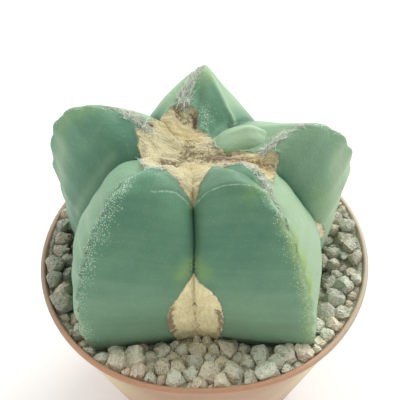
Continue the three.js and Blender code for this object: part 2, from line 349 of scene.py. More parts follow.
def ball(rows: int, around: int) -> Array:
    """A unit ball's points in rows of latitude with the poles' rows, shape (rows + 2, around, 3)."""
    latitude = np.linspace(-np.pi / 2, np.pi / 2, rows + 2)
    longitude = np.linspace(0, 2 * np.pi, around, endpoint=False)
    lat, lon = np.meshgrid(latitude, longitude, indexing="ij")
    return np.stack([np.cos(lat) * np.cos(lon), np.cos(lat) * np.sin(lon), np.sin(lat)], axis=-1)


STRAND_STEPS, STRAND_TAPER = (0.0, 0.35, 0.7, 0.93), 0.7


def strands(roots: Array, runs: Array, bends: Array, widths: Array) -> Shape:
    """Thin closed fibres: three-sided tubes round root + run s + bend s^2, of radius width (1 - taper s).

    Args:
        roots, runs, bends: start, way to the end, and how far the end leaves it, in mm, shape (n, 3).
        widths: radius in mm at the start, shape (n,).

    Returns:
        One shape that holds all the fibres.
    """
    s = np.array(STRAND_STEPS)[None, :, None]
    middle = roots[:, None] + runs[:, None] * s + bends[:, None] * s**2
    side = np.cross(runs, bends + 0.01)
    side /= np.linalg.norm(side, axis=1, keepdims=True)
    up = np.cross(runs, side)
    up /= np.linalg.norm(up, axis=1, keepdims=True)
    angle = np.arange(3) * 2 * np.pi / 3
    spokes = np.cos(angle)[:, None] * side[:, None] + np.sin(angle)[:, None] * up[:, None]
    radius = widths[:, None, None, None] * (1 - STRAND_TAPER * s[..., None])
    rings = middle[:, :, None] + spokes[:, None] * radius
    count, steps = rings.shape[:2]
    ends = np.stack([roots, roots + runs + bends], axis=1)
    points = np.concatenate([rings.reshape(count, steps * 3, 3), ends], axis=1)
    return copies(points, capped_rings(np.zeros((steps, 3, 3)), np.zeros(3), np.zeros(3)))


@dataclass(frozen=True)
class Grains:
    """Many closed grains made together, each bounded by flat facets with rounded edges.

    Attributes:
        rings, around: rings of points on a grain between its ends, and points in a ring.
        crispness: the power p below; the greater it is, the sharper the edges.
        rough: strength of the unevenness, as a share of the radius.
        seed: picks the random numbers.
    """

    rings: int = 6
    around: int = 10
    crispness: float = 26.0
    rough: float = 0.22
    seed: int = 1

    def shape(self, centres: Array, radii: Array, normals: Array, reaches: Array) -> Shape:
        """Builds the grains: along u the surface lies at (|u / radii|^p + sum of (u.n / d)^p)^(-1/p).

        Args:
            centres, radii: middles and half sizes in mm along random directions of their own, shape (n, 3).
            normals, reaches: the facets' normals n, shape (n, k, 3), and distances d from the middle in mm.

        Returns:
            One shape that holds all the grains.
        """
        draw = np.random.default_rng(self.seed)
        unit = capped_rings(ball(self.rings, self.around)[1:-1], np.array([0, 0, -1]), np.array([0, 0, 1]))
        own = np.linalg.norm(unit.points[None] / radii[:, None], axis=-1)
        towards = np.einsum("vk,nkj->nvj", unit.points, random_turns(len(centres), draw))
        facets = np.maximum(np.einsum("nvj,nkj->nvk", towards, normals) / reaches[:, None], 0)
        reach = (own**self.crispness + (facets**self.crispness).sum(-1)) ** (-1 / self.crispness)
        place = towards * reach[..., None]
        shift = draw.uniform(0, 90, size=(len(centres), 1, 3))
        place = place * (1 + self.rough * fractal(place + shift, 1.6, self.seed))[..., None]
        return copies(place + centres[:, None], unit)


def random_turns(count: int, draw: np.random.Generator) -> Array:
    """Random rotations from unit quaternions (a, b, c, d), as matrices of shape (count, 3, 3)."""
    q = draw.normal(size=(count, 4))
    a, b, c, d = (q / np.linalg.norm(q, axis=1, keepdims=True)).T
    rows = [
        [1 - 2 * (c * c + d * d), 2 * (b * c - a * d), 2 * (b * d + a * c)],
        [2 * (b * c + a * d), 1 - 2 * (b * b + d * d), 2 * (c * d - a * b)],
        [2 * (b * d - a * c), 2 * (c * d + a * b), 1 - 2 * (b * b + c * c)],
    ]
    return np.moveaxis(np.array(rows), -1, 0)


# Finishes


def maths_method(operation: str, swapped: bool = False) -> Callable[[Signal, Signal | float], Signal]:
    """A method of Signal that adds one Math node on itself and another, swapped where it says so."""

    def method(self: Signal, other: Signal | float) -> Signal:
        """Adds the node."""
        pair = (other, self) if swapped else (self, other)
        return self.recipe.maths(operation, *pair)

    return method


class Signal:
    """A socket that carries a number. Python's operators on it add Math nodes."""

    def __init__(self, recipe: Recipe, socket: Socket) -> None:
        """Holds the socket and the recipe whose tree it belongs to."""
        self.recipe = recipe
        self.socket = socket

    __add__ = __radd__ = maths_method("ADD")
    __mul__ = __rmul__ = maths_method("MULTIPLY")
    __sub__ = maths_method("SUBTRACT")
    __rsub__ = maths_method("SUBTRACT", swapped=True)
    most = maths_method("MAXIMUM")

    def __abs__(self) -> Signal:
        """The size of self"""
        return self.recipe.maths("ABSOLUTE", self)

    def rise(self, low: float, high: float) -> Signal:
        """0 below low, 1 above high and a smooth step between."""
        node = self.recipe.add("ShaderNodeMapRange", {"interpolation_type": "SMOOTHSTEP"},
                               {"Value": self, "From Min": low, "From Max": high})
        return Signal(self.recipe, node.outputs[0])

    def fall(self, low: float, high: float) -> Signal:
        """1 below low, 0 above high and a smooth step between."""
        return 1 - self.rise(low, high)


class Recipe:
    """A node tree written as expressions."""

    def __init__(self, tree: bpy.types.NodeTree) -> None:
        """Starts on an emptied tree."""
        self.tree = tree
        tree.nodes.clear()
        self.place: Socket | None = None

    def add(self, kind: str, settings: dict | None = None, inputs: dict | None = None) -> bpy.types.Node:
        """Adds a node of a kind.

        Args:
            kind: its type.
            settings: its properties by name, set first.
            inputs: values or links by socket name or number.

        Returns:
            The node.
        """
        node = self.tree.nodes.new(kind)
        for name, value in (settings or {}).items():
            setattr(node, name, value)
        for key, value in (inputs or {}).items():
            socket = node.inputs[key]
            if isinstance(value, Signal):
                value = value.socket
            if isinstance(value, Socket):
                self.tree.links.new(value, socket)
            elif socket.type == "RGBA":
                socket.default_value = (*value, 1.0)
            else:
                socket.default_value = value
        return node

    def maths(self, operation: str, *values: Signal | float) -> Signal:
        """Adds a Math node on the values."""
        node = self.add("ShaderNodeMath", {"operation": operation}, dict(enumerate(values)))
        return Signal(self, node.outputs[0])

    def channel(self, name: str) -> Signal:
        """The piece's attribute of that name."""
        node = self.add("ShaderNodeAttribute", {"attribute_name": name})
        return Signal(self, node.outputs["Fac"])

    def spot(self, size: float, seed: float, stretch: Point = (1, 1, 1)) -> Socket:
        """Object coordinates counted in cells of size mm, shifted by the seed."""
        if self.place is None:
            self.place = self.add("ShaderNodeTexCoord").outputs["Object"]
        scale = tuple(s / (size * MM) for s in stretch)
        shift = (seed * 3.1, seed * -1.7, seed * 2.3)
        return self.add("ShaderNodeVectorMath", {"operation": "MULTIPLY_ADD"},
                        {0: self.place, 1: scale, 2: shift}).outputs[0]

    def noise(self, size: float, seed: float, detail: float = 2, stretch: Point = (1, 1, 1)) -> Signal:
        """Noise round 0, about -0.3 to 0.3, with features some size mm wide over stretch."""
        node = self.add("ShaderNodeTexNoise", None,
                        {"Vector": self.spot(size, seed, stretch), "Scale": 1.0, "Detail": detail})
        return Signal(self, node.outputs[0]) - 0.5

    def cells(self, size: float, seed: float) -> tuple[Signal, Signal]:
        """Scattered cells some size mm apart: the distance from a cell's middle, and its random number."""
        node = self.add("ShaderNodeTexVoronoi", None, {"Vector": self.spot(size, seed), "Scale": 1.0})
        parts = self.add("ShaderNodeSeparateColor", None, {0: node.outputs["Color"]})
        return Signal(self, node.outputs["Distance"]), Signal(self, parts.outputs[0])

    def mix(self, factor: Signal | float, first: object, second: object,
            blend: str = "MIX") -> Socket:
        """Colours mixed by a factor from 0 to 1."""
        return self.add("ShaderNodeMix", {"data_type": "RGBA", "blend_type": blend},
                        {0: factor, 6: first, 7: second}).outputs[2]

    def shaded(self, colour: object, strength: Signal) -> Socket:
        """A colour made lighter or darker by a number round 1."""
        parts = self.add("ShaderNodeCombineXYZ", None, {0: strength, 1: strength, 2: strength})
        return self.mix(1.0, colour, parts.outputs[0], "MULTIPLY")

    def bump(self, height: Signal, depth: float) -> Socket:
        """A normal from a height that runs from 0 to 1 over depth mm."""
        node = self.add("ShaderNodeBump", None, {"Strength": 1.0, "Distance": depth * MM, "Height": height})
        return node.outputs[0]


class SurfaceRecipe(Recipe):
    """The node tree of a material."""

    def __init__(self, name: str) -> None:
        """Starts a material of that name."""
        self.material = bpy.data.materials.new(name)
        self.material.use_nodes = True
        super().__init__(self.material.node_tree)

    def finish(self, **inputs: object) -> Material:
        """Ends the tree in a Principled shader whose sockets are named with _ for a space."""
        named = {name.replace("_", " "): value for name, value in inputs.items()}
        shader = self.add("ShaderNodeBsdfPrincipled", None, named)
        self.add("ShaderNodeOutputMaterial", None, {"Surface": shader.outputs[0]})
        return self.material


@dataclass(frozen=True)
class SkinFinish:
    """Waxy green skin with white flecks, and the cork that has closed over its old wounds.

    The flecks come in sizes, each [cell in mm, seed, share of the fleck channel, share everywhere, reach in
    cells, strength].
    """

    # Colour of the painted shade
    deep: Colour = srgb(60, 98, 78)
    dark: Colour = srgb(82, 130, 106)
    mid: Colour = srgb(106, 152, 120)
    # Colour of the painted light
    pale: Colour = srgb(168, 193, 156)
    fleck: Colour = srgb(202, 224, 200)
    lime: Colour = srgb(154, 186, 98)
    # Colour of the painted shade in the creases
    groove: Colour = srgb(52, 86, 62)
    cream: Colour = srgb(214, 208, 171)
    tan: Colour = srgb(186, 177, 137)
    grey: Colour = srgb(160, 156, 134)
    bark: Colour = srgb(112, 92, 72)
    ochre: Colour = srgb(188, 167, 107)
    rose: Colour = srgb(172, 138, 124)
    wool: Colour = srgb(218, 221, 210)
    soot: Colour = srgb(84, 90, 74)
    matted: Colour = srgb(136, 146, 124)
    fleck_sizes: tuple[tuple[float, ...], ...] = (
        (0.36, 21, 0.9, 0.0, 0.42, 0.85), (0.48, 23, 0.75, 0.0, 0.36, 0.9), (0.5, 24, 0.3, 0.16, 0.4, 0.12),
        (2.0, 22, 0.2, 0.02, 0.08, 0.2),
    )

    def material(self) -> Material:
        """Builds the finish from the skin's channels."""
        r = SurfaceRecipe(Slot.SKIN.value)
        read = {channel: r.channel(channel.value) for channel in Channel}
        scar = read[Channel.SCAR] + r.noise(2.4, 1, 3) * 1.6 + r.noise(0.5, 2) * 0.8
        cork = scar.rise(-0.15, 0.15)
        flesh = self._flesh(r, read, scar)
        bark, fibre = self._cork(r, read, scar)
        colour = r.mix(cork, flesh, bark)
        felt = r.noise(0.45, 4, 3)
        wool = (read[Channel.WOOL] + r.noise(0.8, 3, 3) * 1.5).rise(0.4, 0.7)
        colour = r.mix(wool * 0.85, colour, r.mix((0.5 + felt * 3).rise(0, 1), self.matted, self.wool))
        skin_grain = r.noise(0.35, 5, 3) * 0.3 + r.noise(1.6, 6) * 0.4
        rough_grain = fibre * 1.6 + r.noise(0.45, 8, 3) * 1.3
        height = skin_grain * (1 - cork) + (rough_grain + 0.2) * cork + wool * (0.3 + felt * 2)
        return r.finish(
            Base_Color=colour,
            Roughness=0.5 + 0.38 * cork.most(wool),
            Normal=r.bump(height, 0.36),
            Specular_IOR_Level=0.35,
            Sheen_Weight=0.08,
            Sheen_Roughness=0.5,
        )

    def _flesh(self, r: Recipe, read: dict[Channel, Signal], scar: Signal) -> Socket:
        """The green parts: mottled, banded with growth, flecked with white, with painted light and shade."""
        band = r.add("ShaderNodeTexNoise", {"noise_dimensions": "1D"},
                     {"W": read[Channel.GROWTH] * 5, "Scale": 1.0, "Detail": 3.0})
        growth = Signal(r, band.outputs[0]) - 0.5
        mottle = r.noise(16, 11, 2) * 1.2 + r.noise(3.5, 12, 2) * 0.4 + growth * 0.3
        colour = r.mix((0.5 + mottle).rise(0, 1), self.dark, self.mid)
        # Painted shade
        colour = r.mix(read[Channel.PAINTED_SHADE] * 0.8, colour, self.deep)
        above = read[Channel.ARCH].rise(-0.3, 1.2)
        # Painted light on lit skin, and faintly above the growth arches where the skin faces up
        colour = r.mix((read[Channel.PAINTED_LIGHT] * 0.9).most(above * 0.12), colour, self.pale)
        lime = (read[Channel.LIME] + r.noise(1.5, 13) * 0.4) * 0.7
        colour = r.mix(lime, colour, self.lime)
        line = abs(read[Channel.ARCH] + r.noise(3, 14) * 0.5).fall(0.04, 0.24)
        line = line * (0.42 + r.noise(0.7, 15, 3) * 2.4)
        colour = r.mix(line * 0.75, colour, self.fleck)
        # Painted shade in the creases
        crease = read[Channel.CREASE]
        colour = r.mix(crease.fall(0.1, 0.45) * 0.6 + crease.fall(0, 2.2) * 0.2, colour, self.groove)
        notch = read[Channel.NOTCH] + r.noise(0.9, 16, 3) * 1.8
        colour = r.mix(notch.rise(0.4, 0.75) * 0.6, colour, self.soot)
        for size, seed, share, spare, reach, strength in self.fleck_sizes:
            distance, chance = r.cells(size, seed)
            dense = (read[Channel.FLECK] * share + spare - chance).rise(0, 0.02)
            colour = r.mix(distance.fall(reach * 0.5, reach) * dense * strength, colour, self.fleck)
        scorched = scar.rise(-0.7, -0.1) * (0.3 + r.noise(1.3, 17, 2) * 1.4) * (1 - read[Channel.OCHRE])
        return r.mix(scorched, colour, self.bark)

    def _cork(self, r: Recipe, read: dict[Channel, Signal],
              scar: Signal) -> tuple[Socket, Signal]:
        """The cork: cream and tan fibres, across the crown and upright below, with dark edges and pits, and
        painted light where it runs upright.
        """
        across = r.noise(1.2, 31, 5, (0.4, 1, 1))
        upright = r.noise(0.9, 32, 5, (1, 1, 0.35))
        share = read[Channel.UPRIGHT]
        fibre = across * (1 - share) + upright * share
        cloud, fine = r.noise(5, 33, 3), r.noise(0.4, 37, 3)
        colour = r.mix((0.55 + fibre * 1.4 + cloud * 0.9).rise(0, 1), self.tan, self.cream)
        colour = r.mix((r.noise(3.5, 38, 3) * 2.4 - 0.1).rise(0, 1) * 0.4, colour, self.grey)
        colour = r.mix((read[Channel.OCHRE] + cloud * 0.6 * read[Channel.OCHRE]) * 0.9, colour, self.ochre)
        colour = r.mix((read[Channel.ROSE] + fine * 0.8) * 0.8, colour, self.rose)
        crack = abs(fibre + fine * 0.25 + 0.02).fall(0.004, 0.035) * (0.2 + r.noise(2, 34, 2) * 0.8)
        edge = scar.fall(0.05, 0.5) * (0.35 + r.noise(1.2, 35, 3) * 2.0) * (1 - read[Channel.OCHRE])
        brown = (read[Channel.BROWN] * (1 + r.noise(0.8, 36, 3) * 2.8)).rise(0.3, 0.85) * 0.85
        colour = r.mix(brown.most(edge).most(crack), colour, self.bark)
        # Upright cork, on the heart scar between the front ribs, is made lighter: painted light
        return r.shaded(colour, 1 + fine * 0.5 + share * 0.8), fibre


@dataclass(frozen=True)
class PumiceFinish:
    """Porous grey-beige pumice, a little different on every grain."""

    cool: Colour = srgb(198, 200, 182)
    warm: Colour = srgb(208, 200, 178)
    rust: Colour = srgb(206, 186, 168)
    pore: Colour = srgb(138, 134, 114)

    def material(self) -> Material:
        """Builds the finish from the grains' tone and tint."""
        r = SurfaceRecipe(Slot.PUMICE.value)
        tone, tint = r.channel("tone"), r.channel("tint")
        colour = r.mix((tint + r.noise(2.5, 41)).rise(0.2, 0.8), self.cool, self.warm)
        colour = r.mix(tint.rise(0.93, 0.95) * 0.8, colour, self.rust)
        grain = r.noise(0.55, 42, 4)
        distance, chance = r.cells(0.55, 43)
        pore = distance.fall(0.12, 0.34) * chance.rise(0.45, 0.7)
        colour = r.mix(pore * 0.7, colour, self.pore)
        # Tone holds each grain's random lightness, painted light towards the front and right, and painted
        # shade on the left and in the bed
        colour = r.shaded(colour, 0.9 + tone * 0.22 + grain * 0.5 + r.noise(1.5, 45) * 0.5)
        height = grain * 1.6 + r.noise(1.4, 44, 3) * 1.8 - pore * 0.6
        return r.finish(Base_Color=colour, Roughness=0.95, Normal=r.bump(height, 0.5), Specular_IOR_Level=0.2)


@dataclass(frozen=True)
class PotFinish:
    """Satin moulded plastic: terracotta at the lip and tan down the wall, with painted light, reflection and
    shade.
    """

    lip: Colour = srgb(194, 146, 114)
    # Painted light and reflection on the lip's right side
    glare_tone: Colour = srgb(184, 174, 150)
    # Painted shade on the lip's left side and inside the wall
    shade_tone: Colour = srgb(142, 126, 106)
    wall: Colour = srgb(188, 150, 116)
    stain: Colour = srgb(178, 138, 108)
    # Painted light on the wall either side of its front
    painted_glow: Colour = srgb(222, 210, 160)

    def material(self) -> Material:
        """Builds the finish from the height, the side it faces and the mould lines."""
        r = SurfaceRecipe(Slot.POT.value)
        height = r.channel("height")
        cloud = r.noise(14, 51, 3) * 1.6
        wall = r.mix((0.45 + cloud).rise(0, 1), self.wall, self.stain)
        front = r.channel("front") + cloud * 0.05
        # Painted light: the wall either side of its front turns pale yellow higher up
        lit_sides = front.fall(0.8, 0.97) * front.rise(0.1, 0.6) * (height + cloud * 12).rise(38, 74)
        wall = r.mix(lit_sides, wall, self.painted_glow)
        # Painted shade inside the wall
        wall = r.mix(r.channel("inside"), wall, self.shade_tone)
        side = r.channel("side") + cloud * 0.05
        # Painted light and reflection on the lip's right side
        lip = r.mix(side.rise(0.3, 0.95) * 0.9, self.lip, self.glare_tone)
        # Painted shade on the lip's left side
        lip = r.mix(side.fall(-0.98, -0.6) * 0.8, lip, self.shade_tone)
        colour = r.mix((height + r.noise(9, 52) * 0.6).rise(77.6, 78.4), wall, lip)
        scuff = r.noise(1.2, 53, 4, (1, 1, 3))
        colour = r.shaded(colour, 1 + scuff * 0.25)
        rings = r.noise(0.8, 54, 1, (0.02, 0.02, 1))
        normal = r.bump(rings + scuff * 0.4, 0.06)
        return r.finish(Base_Color=colour, Roughness=0.45 + scuff * 0.3, Normal=normal)


@dataclass(frozen=True)
class MixFinish:
    """Dark mineral potting mix with pale grit."""

    humus: Colour = srgb(62, 48, 38)
    soil: Colour = srgb(104, 84, 66)
    grit: Colour = srgb(158, 146, 126)

    def material(self) -> Material:
        """Builds the finish from crumbs and scattered grit."""
        r = SurfaceRecipe(Slot.MIX.value)
        crumb = r.noise(2.0, 61, 4)
        distance, chance = r.cells(2.6, 62)
        grit = distance.fall(0.2, 0.34) * chance.rise(0.6, 0.64)
        colour = r.mix((0.5 + crumb * 2).rise(0, 1), self.humus, self.soil)
        colour = r.mix(grit, colour, self.grit)
        return r.finish(Base_Color=colour, Roughness=0.97, Normal=r.bump(crumb + grit * 0.4, 0.9))


@dataclass(frozen=True)
class WoolFinish:
    """Greyish white felt of the areoles."""

    light: Colour = srgb(234, 240, 226)
    shade: Colour = srgb(192, 200, 182)

    def material(self) -> Material:
        """Builds the finish from the fibres' tone."""
        r = SurfaceRecipe(Slot.WOOL.value)
        dirt = (r.channel("tone") + r.noise(1.5, 72) * 0.8).rise(0.4, 1.0)
        return r.finish(Base_Color=r.mix(dirt, self.light, self.shade), Roughness=1.0, Sheen_Weight=0.3,
                        Sheen_Roughness=0.6, Specular_IOR_Level=0.1)


@dataclass(frozen=True)
class CorkFinish:
    """Loose splinters of dry bark at the edges of the scars."""

    light: Colour = srgb(206, 192, 156)
    dark: Colour = srgb(132, 112, 86)

    def material(self) -> Material:
        """Builds the finish from bark fibres."""
        r = SurfaceRecipe(Slot.CORK.value)
        fibre = r.noise(0.7, 81, 4, (1, 1, 0.4))
        colour = r.mix((r.channel("tone") + fibre * 0.9).rise(0.2, 0.9), self.light, self.dark)
        return r.finish(Base_Color=colour, Roughness=0.92, Normal=r.bump(fibre, 0.3), Specular_IOR_Level=0.2)


# Form of the cactus

LAST_KNOT = 13
SOIL_KNOT = 4
ROOT_KNOTS = ((0, -34), (5, -26), (9, -17))
CROWN = np.array([-2.5, 0.0, RIM_Z + 33.0])
FIRST_CROWN_KNOT, LAST_CROWN_KNOT = 8, 12
CREST_ROUNDING, CROWN_ROUNDING = 0.03, 0.22
AREOLE_RELIEF, AREOLES_PER_KNOT = 0.35, 1.5
FULL_SWELL = 0.385


@dataclass(frozen=True)
class Rail:
    """A line from the root's tip to the crown that carries a crest or a crease.

    Attributes:
        azimuth: its direction from the pot's axis in degrees, counter-clockwise from +X.
        knots: [radius, height above the rim, azimuth where it leaves the rail's own] in mm.
    """

    azimuth: float
    knots: tuple[tuple[float, ...], ...]

    def points(self, grow: float = 0.0) -> Array:
        """The knots as points, which turn about the crown near the top; grow widens the rail in mm."""
        rows = ROOT_KNOTS + self.knots
        radius = np.array([row[0] + grow if row[0] else 0 for row in rows], float)
        height = np.array([row[1] for row in rows], float)
        angle = np.radians([row[2] if len(row) > 2 else self.azimuth for row in rows])
        knot = np.arange(len(rows))
        towards = np.clip((knot - FIRST_CROWN_KNOT) / (LAST_CROWN_KNOT - FIRST_CROWN_KNOT), 0, 1)
        x = radius * np.cos(angle) + towards * CROWN[0]
        y = radius * np.sin(angle) + towards * CROWN[1]
        return np.vstack([np.stack([x, y, RIM_Z + height], axis=1), CROWN])


@dataclass(frozen=True)
class Rib:
    """A rib's crest, the crease that follows it counter-clockwise, and the form of its two flanks.

    A flank's form is its swell in mm low on the side, high on the side, at the shoulder and on the
    crown, and then the height of its arch.
    """

    crest: Rail
    crease: Rail
    before: tuple[float, ...]
    after: tuple[float, ...]


RIBS = (
    Rib(Rail(227, ((41, -12.5), (46.8, -6.2, 229), (46.8, 6, 226), (44.4, 18), (40.4, 27), (35.5, 34.3),
                   (27, 40.1), (17.4, 39.4), (12, 36.4), (7, 34.2))),
        Rail(265, ((27, -12), (31, -4.5), (32, 5), (31.5, 14), (29, 21.5), (24.5, 27.5), (18.5, 33.2),
                   (13.5, 34), (9.5, 33.8), (5, 33.4))),
        before=(3, 3.8, 2.8, 1.6, 0.5), after=(0.8, 2.6, 2.6, 2.2, 3.2)),
    Rib(Rail(307, ((38, -12), (46.1, -5), (44.8, 5), (43, 12.5), (39.6, 21), (34.6, 29.5), (28.4, 36.8),
                   (20.5, 39.8), (14, 36.5), (8, 34))),
        Rail(336, ((27, -12), (32, -4.5), (32.6, 5), (32.5, 13), (30, 20.5), (25.5, 26), (20.6, 32),
                   (15.5, 33.5), (10.5, 33.6), (5, 33.3))),
        before=(0.8, 2.6, 2.6, 2.2, 3.2), after=(2, 2.4, 1.8, 1.2, 0.5)),
    Rib(Rail(361, ((34, -12), (39.3, -5), (39.5, 7.5), (39.9, 18.5), (41.3, 28, 362), (37.6, 36.4, 363),
                   (28.6, 40.8, 364), (19.5, 36.2, 365), (13, 34.3, 365), (6, 33.6))),
        Rail(410, ((26, -12), (30, -4.5), (31, 5), (30.5, 15), (28, 24), (22.5, 30), (16.6, 32.6),
                   (12.5, 33.2), (8.5, 33.2), (4, 33.1))),
        before=(1.6, 2, 1.2, 0.8, 0), after=(1.8, 2, 0.4, 0.2, -0.5)),
    Rib(Rail(448, ((34, -12), (41, -4.5), (42, 6), (42.3, 16), (41.5, 27), (38.5, 35, 446),
                   (31.5, 41.2, 446), (22, 38.4, 453), (14.5, 35.2, 458), (7, 33.5, 462))),
        Rail(489, ((26, -12), (30, -4.5), (31, 5), (31, 14), (29, 22), (25, 28.5), (19.5, 33),
                   (14.5, 34), (10, 33.8), (5, 33.3))),
        before=(1.8, 1.8, 1.6, 1.8, 0), after=(1.8, 2, 2.4, 2.4, 0)),
    Rib(Rail(528, ((35, -12), (43.2, -5.5, 531), (43.2, 6, 531), (43, 17, 530), (43.2, 28, 529),
                   (40.6, 38.2, 527), (31.5, 44, 525), (18, 42.8, 520), (12, 39, 517), (6, 34.6, 515))),
        Rail(559, ((27, -12), (32, -4.5), (32.5, 5), (32, 14), (29.5, 21.5), (25, 28), (19, 33.4),
                   (14, 34.2), (9.5, 33.9), (5, 33.4))),
        before=(1.8, 2.2, 1.6, 1.2, 0), after=(1.8, 2.2, 1.8, 1.6, 0.5)),
)


def along_knots(knots: Array, t: Array) -> Array:
    """Values on the Catmull-Rom curve through the knots.

    Args:
        knots: one value or point per knot, shape (k, ...).
        t: places along them, from 0 to k - 1.

    Returns:
        The values, shape (len(t), ...).
    """
    padded = np.concatenate([[2 * knots[0] - knots[1]], knots, [2 * knots[-1] - knots[-2]]])
    start = np.minimum(np.floor(t).astype(int), len(knots) - 2)
    f = (t - start).reshape(t.shape + (1,) * (knots.ndim - 1))
    a, b, c, d = (padded[start + k] for k in range(4))
    return 0.5 * (2 * b + (c - a) * f + (2 * a - 5 * b + 4 * c - d) * f**2 + (3 * b - a - 3 * c + d) * f**3)


@dataclass(frozen=True)
class Flank:
    """One side of a rib, from its crest to the crease beside it.

    Attributes:
        crest, crease: the two lines that bound it, as knots.
        far: the crease on the rib's other side.
        turn: 1 where the crease follows the crest counter-clockwise, else -1.
        form: its swell and arch, as in Rib.
    """

    crest: Array
    crease: Array
    far: Array
    turn: int
    form: tuple[float, ...]

    def points(self, w: Array, t: Array) -> tuple[Array, Array]:
        """Points at w across the flank (0 at the crest, 1 at the crease) and t along it.

        The straight line between the two rails is rounded over the crest by near = (soft + w) / 2 with
        soft = sqrt(w^2 + e^2), swollen along its normal by swell(t) * w * sqrt(1 - w) / 0.385, and raised
        by arch(t) * sin(pi * w^0.8).

        Args:
            w: places across, shape (m,).
            t: places along, shape (n,).

        Returns:
            The points, shape (m, n, 3), and the flank's width in mm at each t.
        """
        crest, crease, far = (along_knots(line, t) for line in (self.crest, self.crease, self.far))
        out = crest - 0.5 * (crease + far)
        length = np.linalg.norm(out, axis=1, keepdims=True)
        fade = smoothstep(t, SOIL_KNOT, SOIL_KNOT + 1) * (1 - smoothstep(t, 10, 11))
        wave = AREOLE_RELIEF * np.cos(2 * np.pi * AREOLES_PER_KNOT * t) * fade
        crest = crest + np.where(length > 1, out / np.maximum(length, 1e-9), 0) * wave[:, None]
        chord = crease - crest

        def middle(s: Array) -> Array:
            """The sum of the two rails at s."""
            return along_knots(self.crest, s) + along_knots(self.crease, s)

        along = middle(np.minimum(t + 0.02, LAST_KNOT)) - middle(np.maximum(t - 0.02, 0))
        normal = np.cross(chord, along) * self.turn
        normal /= np.maximum(np.linalg.norm(normal, axis=1, keepdims=True), 1e-9)
        low, high, shoulder, crown, top = self.form
        swell = np.array([0, 0, 0, 0, low / 2, low, (low + high) / 2, high, (high + shoulder) / 2, shoulder,
                          crown, crown / 2, crown / 8, 0], float)
        arch = np.array([0] * 8 + [0.3 * top, top, 0.7 * top, 0.25 * top, 0, 0], float)
        rounding = CREST_ROUNDING + CROWN_ROUNDING * smoothstep(t, 9, 11)
        across = w[:, None]
        soft = np.sqrt(across**2 + rounding**2)
        closing = (np.sqrt(1 + rounding**2) - 1) / 2 * across**2
        near, beyond = ((soft + across) / 2 - closing)[..., None], ((soft - across) / 2 - closing)[..., None]
        belly = (across * np.sqrt(1 - across) / FULL_SWELL)[..., None]
        points = crest + chord * near + (far - crest) * beyond
        points = points + normal * (along_knots(swell, t)[:, None] * belly)
        points[..., 2] += along_knots(arch, t) * np.sin(np.pi * across**0.8)
        return points, np.linalg.norm(chord, axis=1)


def body_flanks(grow: float = 0.0) -> list[Flank]:
    """The ten flanks in order round the body; grow widens them by so many mm."""
    crests = [rib.crest.points(grow) for rib in RIBS]
    creases = [rib.crease.points(grow) for rib in RIBS]
    flanks = []
    for i, rib in enumerate(RIBS):
        beside = (i + 1) % len(RIBS)
        flanks.append(Flank(crests[i], creases[i], creases[i - 1], 1, rib.after))
        flanks.append(Flank(crests[beside], creases[i], creases[beside], -1, RIBS[beside].before))
    return flanks


# Flanks in order, each named by its rib and by the side it faces
(FL_FRONT, FR_FRONT, FR_SIDE, R_FRONT, R_BACK, B_RIGHT, B_LEFT, L_BACK, L_FRONT, FL_SIDE) = range(10)

CROWN_SCAR = (
    (-15.2, 2.7), (-16.1, 1.4), (-15.5, -2), (-14.9, -6), (-14.4, -9.5), (-13.6, -13.2), (-12.4, -15.2),
    (-10.7, -15.4), (-9.3, -15.2), (-7.8, -15.7), (-6.8, -16.6), (-5, -17.8), (-3.5, -18.7), (-2.7, -19.6),
    (-2.1, -20.2), (-1.5, -19.8), (-0.6, -18.4), (-0.4, -17), (0.5, -15.8), (1.6, -14.4), (2.6, -12),
    (4, -9.8), (6.1, -8.2), (8.6, -8.1), (10.9, -9.3), (12.7, -11.6), (14.2, -14), (15, -16.6), (16, -17.2),
    (17, -14.5), (18.2, -9.8), (18.6, -7.6), (19, -6), (19.4, -4.6), (18, -3.8), (16, -3), (13.2, -2.1),
    (11.3, -1.6), (8.4, -0.6), (6.1, 0.5), (4.1, 1.3), (3.4, 2.6), (3.4, 4.4), (2.5, 7.3), (0.9, 8.8),
    (-1, 10.1), (-1.3, 12), (-1.1, 16), (-2.6, 17.3), (-4.6, 16.8), (-6.5, 15.7), (-8.1, 15), (-8.6, 13.6),
    (-10.8, 12.6), (-12.6, 8), (-13.7, 5.4),
)
CROWN_SCAR_FLOOR, HEART_SCAR_BACK = 112.7, -24.0
HEART_SCAR = (
    (-2.8, 101), (-3.6, 100.7), (-4.6, 99.7), (-5.7, 97.8), (-7.1, 95.6), (-8.4, 93.4), (-9.4, 90.4),
    (-9.7, 86), (-9.4, 81.8), (-8.6, 77), (-8.2, 70), (3.4, 70), (3.8, 80.3), (4.5, 85.4), (4.2, 90.2),
    (3.4, 94.8), (2.4, 97.2), (1.2, 98.9), (-0.5, 100.3), (-1.8, 101),
)
SIDE_SCAR = ((29.2, -14.6, 99.6), (30.4, -13.4, 97.4), (31.6, -12.7, 94.6))
SIDE_SCAR_REACH = 1.5
FRONT_ARCHES = {
    FL_FRONT: ((0.5, 8.86), (0.53, 8.89), (0.57, 8.92), (0.64, 8.96), (0.75, 9), (0.84, 8.97), (0.93, 8.88),
               (1, 8.8)),
    FR_FRONT: ((0.22, 9.36), (0.34, 9.34), (0.43, 9.32), (0.54, 9.3), (0.64, 9.26), (0.78, 9.22), (0.86, 9.1),
               (1, 8.9)),
}
# How far apart in mm the knots lie where the arches are
KNOT_SPAN = 7.0

